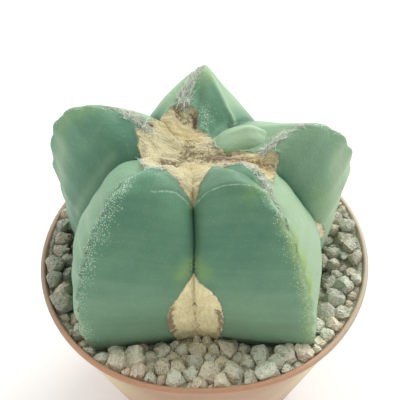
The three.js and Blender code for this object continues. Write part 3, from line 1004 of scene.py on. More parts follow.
# Soft marks, each [reach in mm, strength, path]: strength * exp(-(d / reach)^2) at d from the path
MARKS: dict[Channel, tuple[Mark, ...]] = {
    Channel.BROWN: (
        (1.6, 0.95, ((-9.6, -4.8, 115.2), (-8, -4.2, 114.6), (-6.6, -3.8, 113.9))),
        (1.7, 1.15, ((2, -2.2, 113.5), (4, -1.2, 113.7), (6.4, -1.4, 113.9))),
        (2.2, 0.85, ((4, -3, 113.7), (10, -4.6, 114.6), (17.5, -8, 115.5))),
        (2, 0.8, ((-6.5, 15.9, 118.1), (-5.2, 13.7, 116.6), (-3.4, 12.4, 115.8))),
        (1.1, 0.9, ((-2.6, 14.6, 115.8), (-1.8, 11, 114.9))),
        (0.7, 0.9, ((-15.2, 4.6, 120.4), (-13.6, 5.6, 119.4), (-12, 6.4, 118.4))),
        (0.6, 0.6, ((4.1, -0.6, 113.7), (9.5, -1.6, 114), (14.5, -2.6, 115))),
        (0.6, 0.7, ((-12.8, -12.8, 119.6), (-10.3, -14, 121), (-7.5, -14.8, 121))),
        (1.3, 1.1, ((-8.6, -32.9, 92), (-9.4, -32.9, 84), (-8.6, -32.6, 79.5))),
        (1.1, 1, ((3, -33.6, 90.5), (4, -33.4, 84.5), (3.6, -33, 79.5))),
        (0.45, 1, ((-3.2, -31, 99), (-2.2, -31.4, 96), (-2.9, -31.8, 94), (-2.4, -32, 91))),
        (0.8, 1.2, ((-2.5, -32, 91.6),)),
        # Soft brown down the heart scar's lower valley: painted shade, which also sinks the valley a little
        (1.6, 0.48, ((-2.4, -31.8, 88), (-2.2, -32, 83), (-2, -32, 78))),
    ),
    Channel.OCHRE: (
        (2.6, 1, ((9, -5.6, 114.6), (14.8, -6.6, 115.4), (16.6, -10, 116))),
        (7, 0.28, ((-2.6, -32, 95), (-2.6, -32, 84))),
        (3.4, 0.55, ((-2.1, -20.2, 114.2), (-2.4, -14, 113.6), (-2.2, -7, 114.2))),
        (3.6, 0.6, ((-8, 9, 115), (-2, 7, 113.8))),
    ),
    Channel.ROSE: (
        (1.4, 0.7, ((3, -3, 113.8), (6.4, -3.7, 114.4), (9, -4.6, 114.8))),
        (3, 0.6, SIDE_SCAR),
        (1, 0.6, ((-7.5, -15.5, 121.6), (-5.7, -16.3, 120.5), (-4.2, -17.2, 118.7))),
    ),
    Channel.WOOL: (
        (0.9, 0.9, ((1.7, -6.9, 114.3), (3.8, -6.6, 114.8), (6.4, -6.6, 115.4), (8.7, -7.6, 116),
                    (10.4, -9.7, 117.4))),
        (1.1, 1.1, ((10.4, -9.7, 117.4), (12.3, -12.9, 118.7), (13.6, -15.4, 118.7), (14.6, -18.9, 118.7),
                    (14.9, -20, 118.4))),
        (1.5, 1.1, ((16, -3, 115.7), (17.7, -1.8, 116.4), (19.2, -0.7, 117.1), (21.1, 0.1, 118))),
        (0.7, 0.9, ((21.1, 0.1, 118), (23.3, 0.7, 119.2), (25.3, 1.3, 120.1))),
        (2.2, 1.1, ((-18, 6, 122), (-15.5, 5, 120.8), (-13.5, 4.4, 119.4))),
        (0.7, 0.9, ((-23, 7.3, 123.2), (-20.6, 7.6, 122.3), (-18, 7, 122))),
        (1.1, 1.1, ((1, 30.5, 120.7), (-0.9, 27, 120.8), (-2.2, 24.1, 120), (-2.8, 21.2, 118.5),
                    (-3.5, 18.5, 117.6), (-4, 15.8, 116.7))),
        (1.3, 1, ((-2.2, 24.1, 120), (-4.2, 20.5, 119.2), (-5.6, 17.2, 118.4))),
        (1.3, 1, ((-14.2, -8.4, 118.5), (-12.8, -11, 118.9), (-10.3, -14.9, 121.9), (-8.7, -15.4, 122))),
    ),
    Channel.LIME: (
        (2.2, 0.65, ((-5.2, -31, 103), (-2.6, -29, 104.6), (-0.4, -30.6, 103))),
        (1.8, 0.9, ((20.2, -27.4, 110), (22.2, -28.8, 105.8), (24, -30.6, 100.6), (25, -32.4, 96))),
        (2.6, 0.35, ((-36.7, 6.8, 118.8), (-33.3, 7.1, 122.4), (-27, 6.6, 123.6))),
        (2.4, 0.3, ((10.5, -22, 120), (12, -20.6, 119.6))),
        (1.8, 0.5, ((-2.4, -19.4, 113.8),)),
        (3, 0.3, ((2.6, 29, 120.4), (1.9, 24.7, 120.1))),
        (3, 0.3, ((30, -10, 106), (33, -8.5, 97))),
    ),
    Channel.FLECK: (
        (0.9, 0.9, ((-2.6, -27.6, 104.6), (-2.6, -29.6, 102))),
        (2, 1, ((1.5, 15, 117.2), (0.5, 12, 116))),
        (0.8, 1, ((14.6, -0.9, 116.6), (12, 2.4, 117.6))),
    ),
    # Painted light where the skin faces the light
    Channel.PAINTED_LIGHT: (
        (1.3, 0.26, ((-34.5, -6.5, 99.5), (-29.4, -6.9, 107.9), (-24.4, -5.3, 114.6), (-22, -4.3, 116.9))),
        (3.4, 0.5, ((-37.4, 1.6, 96), (-38.3, 2.4, 106), (-36.6, 4, 114))),
        (3.5, 0.35, ((1.7, 27.5, 120.4),)),
        (6.5, 0.9, ((36.4, -2.4, 111), (36, -5.2, 105.5), (34.6, -8, 99), (33, -9.4, 92))),
    ),
    # Painted shade where the skin lies in shade
    Channel.PAINTED_SHADE: (
        (9, 0.48, ((-20, -3.4, 114.6), (-27, -6, 107), (-33, -5, 97))),
        (5, 0.6, ((4.5, -11.5, 116.4), (9, -15, 119), (12, -18.5, 119.6))),
        (4.5, 0.7, ((4.2, -17.2, 121.1), (7.4, -18.2, 121.4), (10.6, -17.8, 120.7))),
        (6, 0.4, ((22, -3.5, 116.5), (24, -6.5, 111))),
        (4, 0.22, ((2.4, 14.1, 117), (5.1, 8.1, 113.7), (6.9, 9.8, 113.9))),
    ),
}

# Marks beside a crest, each [flank, from, to, offset in mm, reach in mm, strength]
CREST_BANDS: dict[Channel, tuple[tuple[float, ...], ...]] = {
    Channel.FLECK: (
        (FL_FRONT, 7.4, 9.9, 1.4, 1.9, 1.3), (FL_FRONT, 6.2, 8, 1.2, 1.6, 1.1),
        (FL_FRONT, 5, 6.9, 0.9, 1.2, 0.6), (FL_FRONT, 3.6, 5.4, 1.4, 2.4, 0.9),
        (FL_SIDE, 4.6, 9.4, 0, 1, 0.5),
        (FR_FRONT, 4.4, 9.6, 1.2, 1.8, 0.4), (R_FRONT, 7.8, 9.8, 0.4, 0.9, 0.8),
        (L_FRONT, 7.8, 10.2, 0.2, 0.9, 0.8), (B_LEFT, 8.6, 10.4, 1, 2.4, 0.7),
        (R_BACK, 4.2, 9.5, 0.6, 1.4, 0.35), (B_RIGHT, 4.2, 9, 0.6, 1.4, 0.35),
        (L_BACK, 4.2, 9.5, 0.6, 1.4, 0.35), (FR_FRONT, 6, 9, 1.6, 1.6, 0.6),
    ),
    Channel.NOTCH: (
        (FR_FRONT, 7.2, 9.3, 0.2, 0.5, 0.65), (FR_FRONT, 4.6, 7.4, 0.2, 0.4, 0.35),
        (FR_SIDE, 7.5, 9.3, 0, 0.4, 0.5), (FL_FRONT, 4.4, 9.2, 0.3, 0.5, 0.6),
        (FL_SIDE, 4.4, 8.8, 0, 0.4, 0.5),
        (R_FRONT, 8.2, 9.6, 0.2, 0.4, 0.6), (L_FRONT, 8.6, 10, 0.2, 0.4, 0.6),
    ),
    Channel.LIME: (
        (FR_FRONT, 4.4, 8.8, 1.4, 1.6, 0.4),
    ),
    # Painted light along lit crests and on the outer part of the right rib's front
    Channel.PAINTED_LIGHT: (
        (FR_FRONT, 5, 9.6, 0.8, 0.9, 0.8), (FL_FRONT, 3.8, 5.8, 0.2, 1, 0.9), (R_FRONT, 5, 9.6, 0, 1.2, 0.6),
        (R_FRONT, 3.6, 7.7, 3, 6, 1.1), (FR_FRONT, 3.6, 6.2, 0.4, 1.3, 0.9),
    ),
}


# Painted light on the open skin of the flanks that face the light, each [flank, strength, place of nothing,
# place of full strength]
LIT_FLANKS = (
    (FL_SIDE, 0.28, 13.5, 13), (FR_SIDE, 0.8, 9.9, 9.2), (R_FRONT, 0.35, 13.5, 13), (R_BACK, 0.6, 13.5, 13),
    (B_RIGHT, 0.6, 9.35, 9.1), (B_LEFT, 0.6, 13.5, 13), (L_BACK, 0.5, 13.5, 13), (FL_FRONT, 0.22, 7.6, 5.2),
    (FR_FRONT, 0.3, 8.2, 5.2),
)


@dataclass(frozen=True)
class Fold:
    """A ridge across one flank, with a dished face above it.

    Attributes:
        flank: the flank that is folded.
        line: the ridge as [across, along] places.
        ridge, dish: how high the ridge stands and how deep the dish lies, in mm.
    """

    flank: int = B_RIGHT
    line: tuple[tuple[float, float], ...] = (
        (0.01, 8.95), (0.09, 8.96), (0.23, 9.1), (0.41, 9.2), (0.59, 9.25), (0.75, 9.28), (0.89, 9.24),
        (0.99, 9.17),
    )
    ridge: float = 0.7
    dish: float = 1.6

    def gap(self, flank: Array, across: Array, growth: Array) -> Array:
        """Knots above the ridge on its own flank, and far below it elsewhere."""
        place = np.array(self.line)
        return np.where(flank == self.flank, growth - np.interp(across, place[:, 0], place[:, 1]), -FAR)

    def lift(self, gap: Array, across: Array, growth: Array) -> Array:
        """Height in mm that the fold adds: ridge * exp(-(gap / 0.13)^2) less the dish, fading at its ends."""
        ends = smoothstep(across, 0, 0.22) * smoothstep(across, 1, 0.85)
        dish = smoothstep(gap, 0.05, 0.9) * smoothstep(growth, 12.2, 10.8)
        return ends * (self.ridge * np.exp(-((gap / 0.13) ** 2)) - self.dish * dish)


@dataclass
class CactusBody:
    """The ribbed body, from its root to its crown, with its scars, creases and crests.

    Attributes:
        columns: points across each flank.
        side_rows, root_rows: rows above and below the surface of the pumice.
        scar_depth, scar_lip, scar_fill: how far the cork lies below the skin, its edge stands above it,
            and it fills the valleys that it closed, in mm.
        pit, felt, knob, groove, step: depth of brown pits, height of felted ridges and of the crests'
            knobs, depth of the creases' grooves and of the step under a growth arch, in mm.
        undercut: how far the body draws in at the pumice, in mm.
        fold: the ridge on the back rib.
    """

    columns: int = 40
    side_rows: int = 176
    root_rows: int = 8
    scar_depth: float = 0.5
    scar_lip: float = 0.4
    scar_fill: float = 1.4
    pit: float = 0.7
    felt: float = 0.45
    knob: float = 0.28
    groove: float = 0.35
    step: float = 0.12
    undercut: float = 1.0
    fold: Fold = Fold()
    points: Array = field(init=False)
    normals: Array = field(init=False)
    values: dict[Channel, Array] = field(init=False)

    def __post_init__(self) -> None:
        """Works out the surface and its channels."""
        self._lay_out()
        self._mark()
        self._carve()

    def _lay_out(self) -> None:
        """Samples every flank, more closely towards its crest: w = (s + s^2) / 2."""
        root = np.linspace(0.6, SOIL_KNOT - 0.5, self.root_rows)
        side = np.linspace(SOIL_KNOT - 0.4, LAST_KNOT - 0.04, self.side_rows)
        self.t = np.concatenate([root, side])
        s = np.arange(self.columns) / self.columns
        from_crest = (s + s**2) / 2
        from_crease = 1 - (1 - (1 - s) ** 2 / 2 - (1 - s) / 2)
        rings, widths, across, names = [], [], [], []
        for number, flank in enumerate(body_flanks()):
            w = from_crest if flank.turn > 0 else from_crease
            points, width = flank.points(w, self.t)
            rings.append(points)
            widths.append(np.broadcast_to(width, points.shape[:2]))
            across.append(np.broadcast_to(w[:, None], points.shape[:2]))
            names.append(np.full(points.shape[:2], number))
        self.points = np.concatenate(rings).transpose(1, 0, 2)
        self.width = np.concatenate(widths).T
        self.across = np.concatenate(across).T
        self.flank = np.concatenate(names).T
        self.growth = np.broadcast_to(self.t[:, None], self.across.shape)
        self.normals = self._normals()

    def _normals(self) -> Array:
        """Outward normals: the cross product of the steps round and along the surface."""
        around = np.roll(self.points, -1, axis=1) - np.roll(self.points, 1, axis=1)
        along = np.gradient(self.points, axis=0)
        normal = np.cross(around, along)
        return normal / np.maximum(np.linalg.norm(normal, axis=-1, keepdims=True), 1e-9)

    def _mark(self) -> None:
        """Fills the channels from scars, arches, marks, bands, painted light on lit flanks and the fold."""
        p, growth = self.points, self.growth
        v = {channel: np.zeros(self.across.shape) for channel in Channel}

        def lay(channel: Channel, strength: Array) -> None:
            """Raises a channel to a strength wherever it is weaker."""
            v[channel] = np.maximum(v[channel], strength)

        v[Channel.CREST] = np.minimum(self.across * self.width, FAR)
        beyond = smoothstep(growth, 9.6, 10.6) * FAR
        v[Channel.CREASE] = np.minimum((1 - self.across) * self.width + beyond, FAR)
        v[Channel.GROWTH] = growth
        crown = np.minimum(outline_depth(np.array(CROWN_SCAR), p[..., :2]), p[..., 2] - CROWN_SCAR_FLOOR)
        heart = np.minimum(outline_depth(np.array(HEART_SCAR), p[..., [0, 2]]), HEART_SCAR_BACK - p[..., 1])
        side = SIDE_SCAR_REACH - path_distance(np.array(SIDE_SCAR), p)
        v[Channel.SCAR] = np.clip(np.maximum.reduce([crown, heart, side]), -FAR, FAR)
        v[Channel.UPRIGHT] = smoothstep(p[..., 2], 106, 102)
        v[Channel.ARCH] = np.full(self.across.shape, -FAR)
        for number, arch in FRONT_ARCHES.items():
            place = np.array(arch)
            gap = (growth - np.interp(self.across, place[:, 0], place[:, 1])) * KNOT_SPAN
            gap = np.where(self.across < place[0, 0] * 0.9, -FAR, gap)
            v[Channel.ARCH] = np.where(self.flank == number, np.clip(gap, -FAR, FAR), v[Channel.ARCH])
        for channel, marks in MARKS.items():
            for reach, strength, path in marks:
                lay(channel, strength * np.exp(-((path_distance(np.array(path), p) / reach) ** 2)))
        for channel, bands in CREST_BANDS.items():
            for flank, start, end, offset, reach, strength in bands:
                span = smoothstep(growth, start, start + 0.4) * (1 - smoothstep(growth, end - 0.4, end))
                beside = np.exp(-(((v[Channel.CREST] - offset) / reach) ** 2))
                lay(channel, strength * span * beside * (self.flank == flank))
        # Painted light on the flanks that face the light
        for flank, strength, nothing, full in LIT_FLANKS:
            open_skin = smoothstep(v[Channel.CREASE], 0, 8) * (self.flank == flank)
            lay(Channel.PAINTED_LIGHT, strength * smoothstep(growth, nothing, full) * open_skin)
        self.fold_gap = self.fold.gap(self.flank, self.across, growth)
        # Painted highlight along the fold's ridge
        lay(Channel.PAINTED_LIGHT, 0.7 * np.exp(-(((self.fold_gap + 0.12) / 0.14) ** 2)))
        # Painted shade at the foot, where the body draws in at the pumice
        lay(Channel.PAINTED_SHADE, smoothstep(growth, 4.6, 4.0))
        self.values = v

    def _carve(self) -> None:
        """Moves the surface along its normals: undulation, sunken scars with a raised edge, pits, felted
        ridges, knobs along the crests, grooves in the creases, the fold, and the undercut at the pumice."""
        p, v = self.points, self.values
        above = smoothstep(self.growth, SOIL_KNOT - 0.7, SOIL_KNOT - 0.2)
        ragged = v[Channel.SCAR] + 0.5 * noise(p, 1.8, 5)
        inside = smoothstep(ragged, -0.2, 0.9)
        move = 0.3 * noise(p, 15, 1) + 0.12 * noise(p, 5, 2)
        across = noise(p * np.array([0.5, 1, 1]), 1.5, 7)
        upright = noise(p * np.array([1, 1, 0.3]), 1.2, 8)
        share = v[Channel.UPRIGHT]
        fibre = across * (1 - share) + upright * share
        move += inside * (-self.scar_depth + 0.4 * fractal(p, 4, 9) + 0.16 * fibre + 0.1 * noise(p, 0.9, 12))
        valley = (1 - self.across) * self.width
        filled = self.scar_fill * np.exp(-((valley / 2.2) ** 2))
        filled -= self.groove * share * np.exp(-((valley / 0.4) ** 2))
        cheeks = 0.3 + 0.7 * smoothstep(p[..., 2], 86, 96)
        move += inside * filled * cheeks * smoothstep(self.growth, 12.6, 11.6)
        move += self.scar_lip * np.exp(-(((ragged + 0.1) / 0.5) ** 2)) * (0.8 + 0.8 * noise(p, 1.4, 13))
        move -= self.pit * v[Channel.BROWN] * (1 - 0.6 * share)
        move += self.felt * v[Channel.WOOL] * (0.7 + 0.8 * noise(p, 0.9, 10))
        knobs = np.exp(-((v[Channel.CREST] / 1.2) ** 2)) * (1 - smoothstep(self.growth, 9.5, 10.5))
        move += knobs * self.knob * noise(p, 1.8, 11)
        move -= self.groove * np.exp(-((v[Channel.CREASE] / 0.6) ** 2)) * (1 - inside)
        move -= self.step * smoothstep(v[Channel.ARCH], 0.6, -0.1) * (v[Channel.ARCH] > -FAR)
        move += self.fold.lift(self.fold_gap, self.across, self.growth)
        move -= self.undercut * smoothstep(self.growth, 4.6, 3.8)
        self.points = p + self.normals * (move * above)[..., None]
        self.normals = self._normals()

    def nearest(self, places: Array) -> tuple[Array, Array]:
        """The surface points nearest to some places in mm, and the outward normals there."""
        flat, normals = self.points.reshape(-1, 3), self.normals.reshape(-1, 3)
        found = np.array([np.argmin(((flat - place) ** 2).sum(-1)) for place in places])
        return flat[found], normals[found]

    def crest_points(self, rib: int, t: Array) -> Array:
        """Points on a rib's crest at places along it."""
        return body_flanks()[2 * rib].points(np.zeros(1), t)[0][0]

    def build(self, material: Material) -> Object:
        """Makes the body's mesh and puts it in the place of the plain solid."""
        tip, top = np.array([0, 0, RIM_Z + ROOT_KNOTS[0][1]]), self.points[-1].mean(axis=0)
        shape = capped_rings(self.points, tip, top)
        channels = {
            channel.value: np.concatenate([value.ravel(), [value[0, 0], value[-1].mean()]])
            for channel, value in self.values.items()
        }
        piece = shape.piece("cactus_skin_body", Slot.SKIN, material, channels)
        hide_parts("cactus_body")
        return piece


@dataclass(frozen=True)
class OffsetLobe:
    """The small second growth tip beside the crown: blunt on its left, with a soft ridge along its top."""

    centre: Point = (12.8, 4.2, RIM_Z + 33.2)
    radii: Point = (8.8, 5.4, 4.5)
    turn: float = -3.0
    rows: int = 48
    columns: int = 96

    def build(self, material: Material) -> Object:
        """Makes the lobe: a ball widened by sqrt(1 + x^2) on its left and narrowed by 0.1 x^2 on its right,
        whose upper half falls by 0.5 sqrt(x^2 + 0.01) from its middle like a tent."""
        sphere = ball(self.rows, self.columns)
        x, y, z = np.moveaxis(sphere, -1, 0)
        wide = np.sqrt(1 + np.minimum(x, 0) ** 2) - 0.1 * np.maximum(x, 0) ** 2
        ridge = np.exp(-(((y - 0.1) / 0.22) ** 2)) * (z > 0)
        tent = np.where(z > 0, 0.98 - 0.5 * np.sqrt(x**2 + 0.01) + 0.12 * ridge, wide)
        local = np.stack([x, y * wide, z * tent], axis=-1) * np.array(self.radii)
        angle = math.radians(self.turn)
        cos, sin = math.cos(angle), math.sin(angle)
        spin = np.array([[cos, sin, 0], [-sin, cos, 0], [0, 0, 1]])
        points = local @ spin + np.array(self.centre) + sphere * (0.15 * noise(local, 4, 21))[..., None]
        shape = capped_rings(points[1:-1], points[0, 0], points[-1, 0])
        channels = {channel.value: np.full(len(shape.points), BLANK.get(channel, 0.0)) for channel in Channel}
        for channel, rows, poles in (
            # Painted light over the whole lobe, stronger on its upper half
            (Channel.PAINTED_LIGHT, 0.5 + 0.3 * z, (0.5, 0.8)),
            (Channel.FLECK, 0.9 * ridge * smoothstep(x, 0.1, 0.5), (0, 0)),
            (Channel.LIME, 0.5 * smoothstep(z, 0.5, 0.1), (0, 0)),
        ):
            channels[channel.value] = np.concatenate([rows[1:-1].ravel(), poles])
        channels[Channel.GROWTH.value] = shape.points[:, 1] * 0.15
        return shape.piece("offset_lobe", Slot.SKIN, material, channels)


# Felt along paths on the body, each [spread in mm, how many fibres, their length in mm, path]
WOOL_PATCHES = (
    (1.1, 190, 2, ((15.6, -3.4, 115.6), (17.7, -1.8, 116.4), (19.2, -0.7, 117.1), (21.1, 0.1, 118))),
    (0.3, 60, 1, ((21.1, 0.1, 118), (23.3, 0.7, 119.2), (25.3, 1.3, 120.1), (28.2, 1.8, 120.7))),
    (1.6, 240, 2, ((-18.4, 6.4, 122), (-15.5, 5.2, 120.8), (-13.3, 4.4, 119.4))),
    (0.4, 80, 1.2, ((-24, 7.3, 123.4), (-20.6, 7.7, 122.3), (-18, 7, 122))),
    (0.8, 240, 2, ((1.4, 31, 120.7), (-0.9, 27, 120.8), (-2.2, 24.1, 120), (-2.8, 21.2, 118.5),
                   (-3.5, 18.5, 117.6), (-4, 16.4, 117))),
    (0.9, 140, 2.1, ((-2.2, 24.1, 120), (-4.2, 20.5, 119.2), (-5.6, 17.2, 118.4))),
    (0.7, 210, 1.5, ((10.4, -9.7, 117.4), (12.3, -12.9, 118.7), (13.6, -15.4, 118.7), (14.6, -18.9, 118.7),
                     (14.9, -20, 118.4))),
    (0.25, 60, 1, ((14.9, -20, 118.4), (16.1, -21.9, 116.8), (18, -24.1, 115))),
    (0.4, 120, 1, ((2.4, -6.4, 114.3), (6.4, -6.6, 115.4), (8.7, -7.6, 116), (10.4, -9.7, 117.4))),
    (0.8, 220, 1.3, ((-14.2, -8.4, 118.5), (-12.8, -11, 118.9), (-10.3, -14.9, 121.9), (-8.7, -15.4, 122))),
)


@dataclass(frozen=True)
class AreoleWool:
    """The wool: a few short fibres at every areole along the crests, and the longer felt of the patches.

    Attributes:
        spacing: steps along a rail between areoles.
        each: fibres at an areole, and their length in mm.
        width: radius of a fibre in mm, least and greatest.
    """

    spacing: float = 1 / 3
    each: tuple[int, float] = (7, 0.5)
    width: tuple[float, float] = (0.05, 0.1)
    seed: int = 77

    def build(self, body: CactusBody, material: Material) -> Object:
        """Lays the fibres on the body, mostly along their path and a little outwards."""
        draw = np.random.default_rng(self.seed)
        places, runs, lengths = [], [], []
        count, length = self.each
        for rib in range(len(RIBS)):
            t = np.repeat(np.arange(SOIL_KNOT + 0.1, 9.6, self.spacing), count)
            along = body.crest_points(rib, t + 0.02) - body.crest_points(rib, t)
            places.append(body.crest_points(rib, t) + draw.normal(scale=0.22, size=along.shape))
            runs.append(along / np.linalg.norm(along, axis=1, keepdims=True))
            lengths.append(np.full(len(t), length))
        for spread, count, length, corners in WOOL_PATCHES:
            path = np.array(corners)
            at = draw.uniform(0, len(path) - 1, count)
            whole = np.minimum(at.astype(int), len(path) - 2)
            along = path[whole + 1] - path[whole]
            place = path[whole] + along * (at - whole)[:, None]
            places.append(place + draw.normal(scale=spread * 0.6, size=along.shape))
            runs.append(along / np.linalg.norm(along, axis=1, keepdims=True))
            lengths.append(np.full(count, length))
        roots, normals = body.nearest(np.vstack(places))
        run, size = np.vstack(runs), np.concatenate(lengths)
        size = (size * draw.uniform(0.5, 1.25, len(size)))[:, None]
        run = run * draw.choice([-1, 1], len(size))[:, None] + draw.normal(scale=0.45, size=run.shape)
        run -= normals * (run * normals).sum(axis=1, keepdims=True)
        run = (run + normals * draw.uniform(0.05, 0.5, size.shape)) * size
        bends = (draw.normal(scale=0.3, size=run.shape) - normals * 0.25) * size
        shape = strands(roots - normals * 0.05, run, bends, draw.uniform(*self.width, len(size)))
        tone = per_copy(draw.uniform(0, 1, len(size)), shape)
        return shape.piece("areole_wool_tufts", Slot.WOOL, material, {"tone": tone})


@dataclass(frozen=True)
class BarkSplinters:
    """Short dry fibres that lift along the edges of the scars.

    Attributes:
        count: how many splinters.
        length, width: their length and radius in mm, least and greatest.
    """

    count: int = 420
    length: tuple[float, float] = (0.4, 1.3)
    width: tuple[float, float] = (0.05, 0.13)
    seed: int = 55

    def build(self, body: CactusBody, material: Material) -> Object:
        """Picks random places within 0.8 mm of a scar's edge and lays a slightly lifted splinter on each."""
        draw = np.random.default_rng(self.seed)
        edge = np.abs(body.values[Channel.SCAR] - 0.25) < 0.55
        shown = edge & (body.growth > SOIL_KNOT + 0.2)
        found = draw.choice(np.flatnonzero(shown.ravel()), self.count, replace=False)
        roots, normals = body.points.reshape(-1, 3)[found], body.normals.reshape(-1, 3)[found]
        flat = np.cross(normals, draw.normal(size=normals.shape))
        runs = flat + normals * draw.uniform(0, 0.5, (self.count, 1))
        runs *= draw.uniform(*self.length, (self.count, 1)) / np.linalg.norm(runs, axis=1, keepdims=True)
        bends = draw.normal(scale=0.15, size=runs.shape)
        shape = strands(roots, runs, bends, draw.uniform(*self.width, self.count))
        tone = per_copy(draw.uniform(0, 1, self.count), shape)
        return shape.piece("scar_bark_splinters", Slot.CORK, material, {"tone": tone})


# Pot and fill


@dataclass(frozen=True)
class Pot:
    """The thin-walled tapered pot with its rolled lip and drain holes, pressed in a little at its front."""

    height: float = RIM_Z
    rim_radius: float = 50.0
    base_radius: float = 36.0
    wall: float = 0.9
    floor: float = 2.0
    overhang: float = 0.4
    lip_height: float = 1.2
    around: int = 192
    drains: int = 6
    drain_radius: float = 3.0
    drain_circle: float = 24.0
    dent_depth: float = 1.3
    dent_angle: float = 22.0
    dent_foot: float = 68.0

    def dent(self, x: Array, y: Array, z: Array | float) -> Array:
        """How far the mouth is pressed in at its front: depth * exp(-(angle / spread)^2), near the lip."""
        angle = np.degrees(np.arctan2(x, -y))
        near_lip = smoothstep(z, self.dent_foot, self.height - 1)
        return self.dent_depth * np.exp(-((angle / self.dent_angle) ** 2)) * near_lip

    def outer(self, z: float) -> float:
        """The wall's outer radius at a height."""
        mouth = self.rim_radius - self.overhang
        return self.base_radius + (mouth - self.base_radius) * z / self.height

    def inner(self, z: float) -> float:
        """The wall's inner radius at a height."""
        return self.outer(z) - self.wall

    def profile(self) -> Array:
        """The wall's section, from the underside's middle up the outside, over the lip and down inside."""
        under_lip = self.height - self.lip_height
        top = self.height
        return rounded([
            (0, 0, 0),
            (self.outer(0), 0, 0.8),
            (self.outer(70), 70, 6.0),
            (self.outer(under_lip), under_lip, 0.15),
            (self.rim_radius, under_lip, 0.25),
            (self.rim_radius, top, 0.7),
            (self.inner(top), top, 0.4),
            (self.inner(70), 70, 6.0),
            (self.inner(self.floor), self.floor, 0.8),
            (0, self.floor, 0),
        ])

    def build(self, material: Material) -> Object:
        """Turns the profile, cuts the drain holes and puts the pot in the place of the plain solid."""
        shape = turned(self.profile(), self.around)
        x, y, z = shape.points.T
        shape.points[:, :2] *= (1 - self.dent(x, y, z) / self.rim_radius)[:, None]
        piece = shape.piece("nursery_pot", Slot.POT, material, {})
        self._drill(piece)
        places = np.empty(len(piece.data.vertices) * 3, np.float32)
        piece.data.vertices.foreach_get("co", places)
        x, y, z = places.reshape(-1, 3).T / MM
        radius = np.hypot(x, y)
        keep_channels(piece.data, {
            "height": z,
            "front": -y / np.maximum(radius, 1),
            "side": x / self.rim_radius,
            "inside": radius + self.dent(x, y, z) < self.outer(z) - 0.5 * self.wall,
        })
        piece.data.set_sharp_from_angle(angle=math.radians(40))
        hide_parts("pot")
        return piece

    def _drill(self, piece: Object) -> None:
        """Cuts the drain holes through the floor with one Boolean of six round plugs."""
        plug = turned(np.array([[0, -1], [self.drain_radius, -1], [self.drain_radius, self.floor + 1],
                                [0, self.floor + 1]], float), 32)
        angles = (np.arange(self.drains) + 0.5) / self.drains * 2 * np.pi
        centres = self.drain_circle * np.stack([np.cos(angles), np.sin(angles), 0 * angles], axis=1)
        cutter = linked("drains", copies(plug.points[None] + centres[:, None], plug).mesh("drains"))
        cut = piece.modifiers.new("drains", "BOOLEAN")
        cut.operation, cut.object, cut.solver = "DIFFERENCE", cutter, "EXACT"
        cut_mesh = bpy.data.meshes.new_from_object(piece.evaluated_get(bpy.context.evaluated_depsgraph_get()))
        piece.modifiers.clear()
        piece.data = cut_mesh
        bpy.data.objects.remove(cutter)


